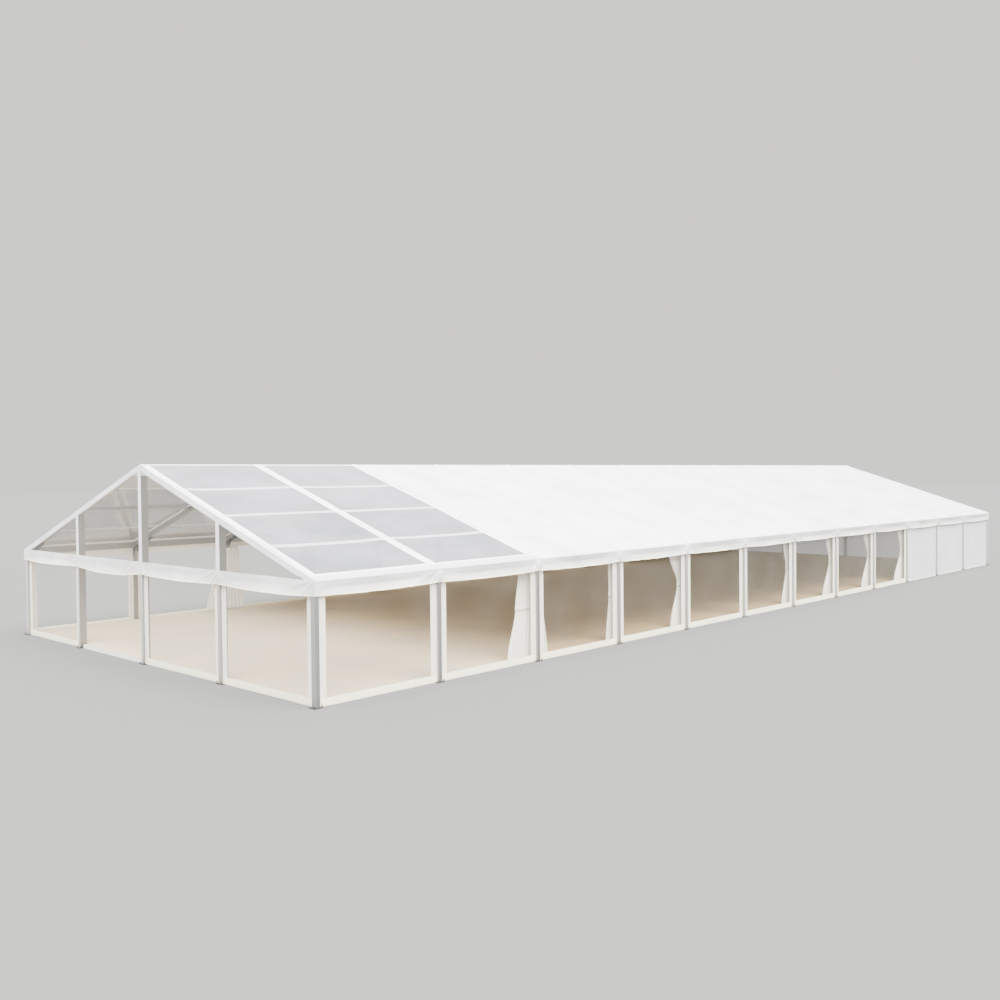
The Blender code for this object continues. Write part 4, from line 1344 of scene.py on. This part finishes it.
# %% Where the curtains hang
# The leg, then how far the cloth reaches to the front and to the rear of it at the head, tie and hem.
CURTAINS = {
    "front": ((2, (0.44, 0.54, 0.80), (0.33, 0.38, 0.52)),
              (3, (0.18, 0.17, 0.30), (0.26, 0.26, 0.38)),
              (4, (0.53, 0.17, 0.50), (0.14, 0.12, 0.20))),
    "rear": ((6, (0.30, 0.14, 0.38), (0.14, 0.12, 0.18)),
             (7, (0.38, 0.15, 0.62), (0.14, 0.12, 0.18)),
             (8, (0.45, 0.13, 0.62), (0.14, 0.12, 0.18)),
             (9, (0.45, 0.20, 0.78), (0.14, 0.12, 0.18))),
}
CURTAIN_MIDDLE = LEG_INNER - 0.07
RAIL_TOP = corners_of("right_front_curtains")[1][2]
CURTAIN_HEAD = RAIL_TOP - 0.015
CURTAIN_HEM = DECK_TOP + 0.014
CURTAIN_TALL = CURTAIN_HEAD - CURTAIN_HEM
TIE_SHARE = 0.6  # of the curtain's height


def reach_at(reaches, share):
    """How far the cloth reaches at a share of its height, 0 at the hem."""
    head, tie, hem = reaches
    if share < TIE_SHARE:
        return hem + (tie - hem) * eased(share / TIE_SHARE)
    return tie + (head - tie) * eased((share - TIE_SHARE) / (1.0 - TIE_SHARE))


print("curtains on each side:", sum(len(group) for group in CURTAINS.values()))
print("from", round(CURTAIN_HEM, 3), "to", round(CURTAIN_HEAD, 3), "m")

# %% One curtain
FOLD_WIDTH = 0.075
FEWEST_FOLDS = 4
FACES_TO_A_FOLD = 12
CURTAIN_ROW = 0.04  # faces are no taller than this
FOLD_DEPTH = 0.026
TIE_SQUEEZE = 0.008  # how much shallower the folds are at the tie
TIE_SPREAD = 0.16  # and how far up and down that reaches, as a share of the height
HEAD_SQUEEZE = 0.010  # how much shallower they are at the head
HEAD_FROM = 0.9  # from this share of the height
WANDER = 0.010  # how far the whole cloth strays in and out


def fold_count(front, rear):
    """How many folds a curtain has, from the width of its head."""
    return max(FEWEST_FOLDS, round((front[0] + rear[0]) / FOLD_WIDTH))


def curtain_sheet(name, leg, front, rear, turn_side, seed):
    """The gathered cloth, with its folds squeezed at the tie."""
    middle = FRAME_PLACES[leg]
    folds = fold_count(front, rear)

    def place(u, v):
        share = (v - CURTAIN_HEM) / CURTAIN_TALL
        forward, back = reach_at(front, share), reach_at(rear, share)
        near_tie = hump(share - TIE_SHARE, TIE_SPREAD)
        near_head = max(0.0, share - HEAD_FROM) / (1.0 - HEAD_FROM)
        depth = FOLD_DEPTH - TIE_SQUEEZE * near_tie - HEAD_SQUEEZE * near_head
        turn = math.tau * folds * u + 1.05 * drift(u * folds * 0.6, share * 1.4, seed)
        stray = WANDER * drift(u * 3.0, share * 2.0, seed + 4) * (1.0 - near_tie)
        x = CURTAIN_MIDDLE + depth * math.sin(turn) + stray
        return (turn_side * x, middle + back - (forward + back) * u, v)

    return grid_mesh(name, stations([0.0, 1.0], 1.0 / (folds * FACES_TO_A_FOLD)),
                     stations([CURTAIN_HEM, CURTAIN_HEAD], CURTAIN_ROW), place, flip=turn_side > 0)


def cloth_area(mesh):
    """The area of a mesh's faces."""
    return sum(face.area for face in mesh.polygons)


for part, group in CURTAINS.items():
    print("folds of the", part, "curtains:", [fold_count(front, rear) for leg, front, rear in group])

# %% [markdown]
# A tie band goes round each curtain and up to a hook on the leg, and a round rod carries the curtain's
# head. The band could be a flattened ring, but it lies against a sheaf of folds with square corners, so
# its outline is a circle whose corners are pushed out.

# %% Its tie band and its rail
TIE_TALL = 0.07
TIE_HALF_DEPTH = 0.036
TIE_SLACK = 0.008  # past the cloth on each side
TIE_DIP = 0.02  # how much lower the band lies beside its hook
TIE_FACES = 64
TIE_ROW = 0.012
RAIL = 0.03  # diameter
RAIL_SIDES = 16
RAIL_GAP = 0.001  # to the legs' inner faces


def squared(value, power):
    """A sine or cosine whose curve is pushed out towards a square."""
    return math.copysign(abs(value) ** power, value)


def tie_band(name, leg, front, rear, turn_side):
    """The band round the curtain where it is drawn in, sloping up to its hook on the leg."""
    forward, back = reach_at(front, TIE_SHARE), reach_at(rear, TIE_SHARE)
    middle = FRAME_PLACES[leg] + (back - forward) / 2
    half = (forward + back) / 2 + TIE_SLACK
    height = CURTAIN_HEM + TIE_SHARE * CURTAIN_TALL

    def place(u, v):
        sine, cosine = math.sin(math.tau * u), math.cos(math.tau * u)
        x = CURTAIN_MIDDLE + TIE_HALF_DEPTH * squared(cosine, 0.5)
        y = middle + half * squared(sine, 0.8)
        return (turn_side * x, y, height + v - TIE_DIP * abs(sine))

    return grid_mesh(name, stations([0.0, 1.0], 1.0 / TIE_FACES),
                     stations([-TIE_TALL / 2, TIE_TALL / 2], TIE_ROW), place, flip=turn_side < 0)


def curtain_rail(name, low, high, turn_side):
    """The rail between two places along Y: a round rod on the legs' inner faces."""
    rod = bmesh.new()
    bmesh.ops.create_cone(rod, cap_ends=True, segments=RAIL_SIDES, radius1=RAIL / 2, radius2=RAIL / 2,
                          depth=high - low)
    bmesh.ops.rotate(rod, verts=rod.verts, matrix=Matrix.Rotation(math.radians(90), 3, "X"))
    middle = (turn_side * (LEG_INNER - RAIL / 2 - RAIL_GAP), (low + high) / 2, RAIL_TOP - RAIL / 2)
    bmesh.ops.translate(rod, verts=rod.verts, vec=middle)
    return finish_shape(name, rod)


print("ties at", round(CURTAIN_HEM + TIE_SHARE * CURTAIN_TALL, 2), "m, rails at", RAIL_TOP, "m")

# %% All the curtains, their ties and rails
count = 0
for side, turn_side in (("right", 1.0), ("left", -1.0)):
    for part, group in CURTAINS.items():
        for leg, front, rear in group:
            name = f"{side}_curtain_{leg + 1:02d}"
            mesh = curtain_sheet(name, leg, front, rear, turn_side, leg + turn_side)
            curtain = add_piece(name, mesh, [DRAPE], [f"{side}_{part}_curtains"])
            band_mesh = tie_band(f"{name}_tie", leg, front, rear, turn_side)
            band = add_piece(band_mesh.name, band_mesh, [DRAPE])
            width = round(cloth_area(mesh) / CURTAIN_TALL, 2)
            rail = curtain_rail(f"{name}_rail", FRAME_PLACES[leg] - front[0] - RAIL,
                                FRAME_PLACES[leg] + rear[0] + RAIL, turn_side)
            add_piece(rail.name, rail, [ALUMINIUM])
            count += 1
            print(name, "cloth width", width)
print("curtains:", count)
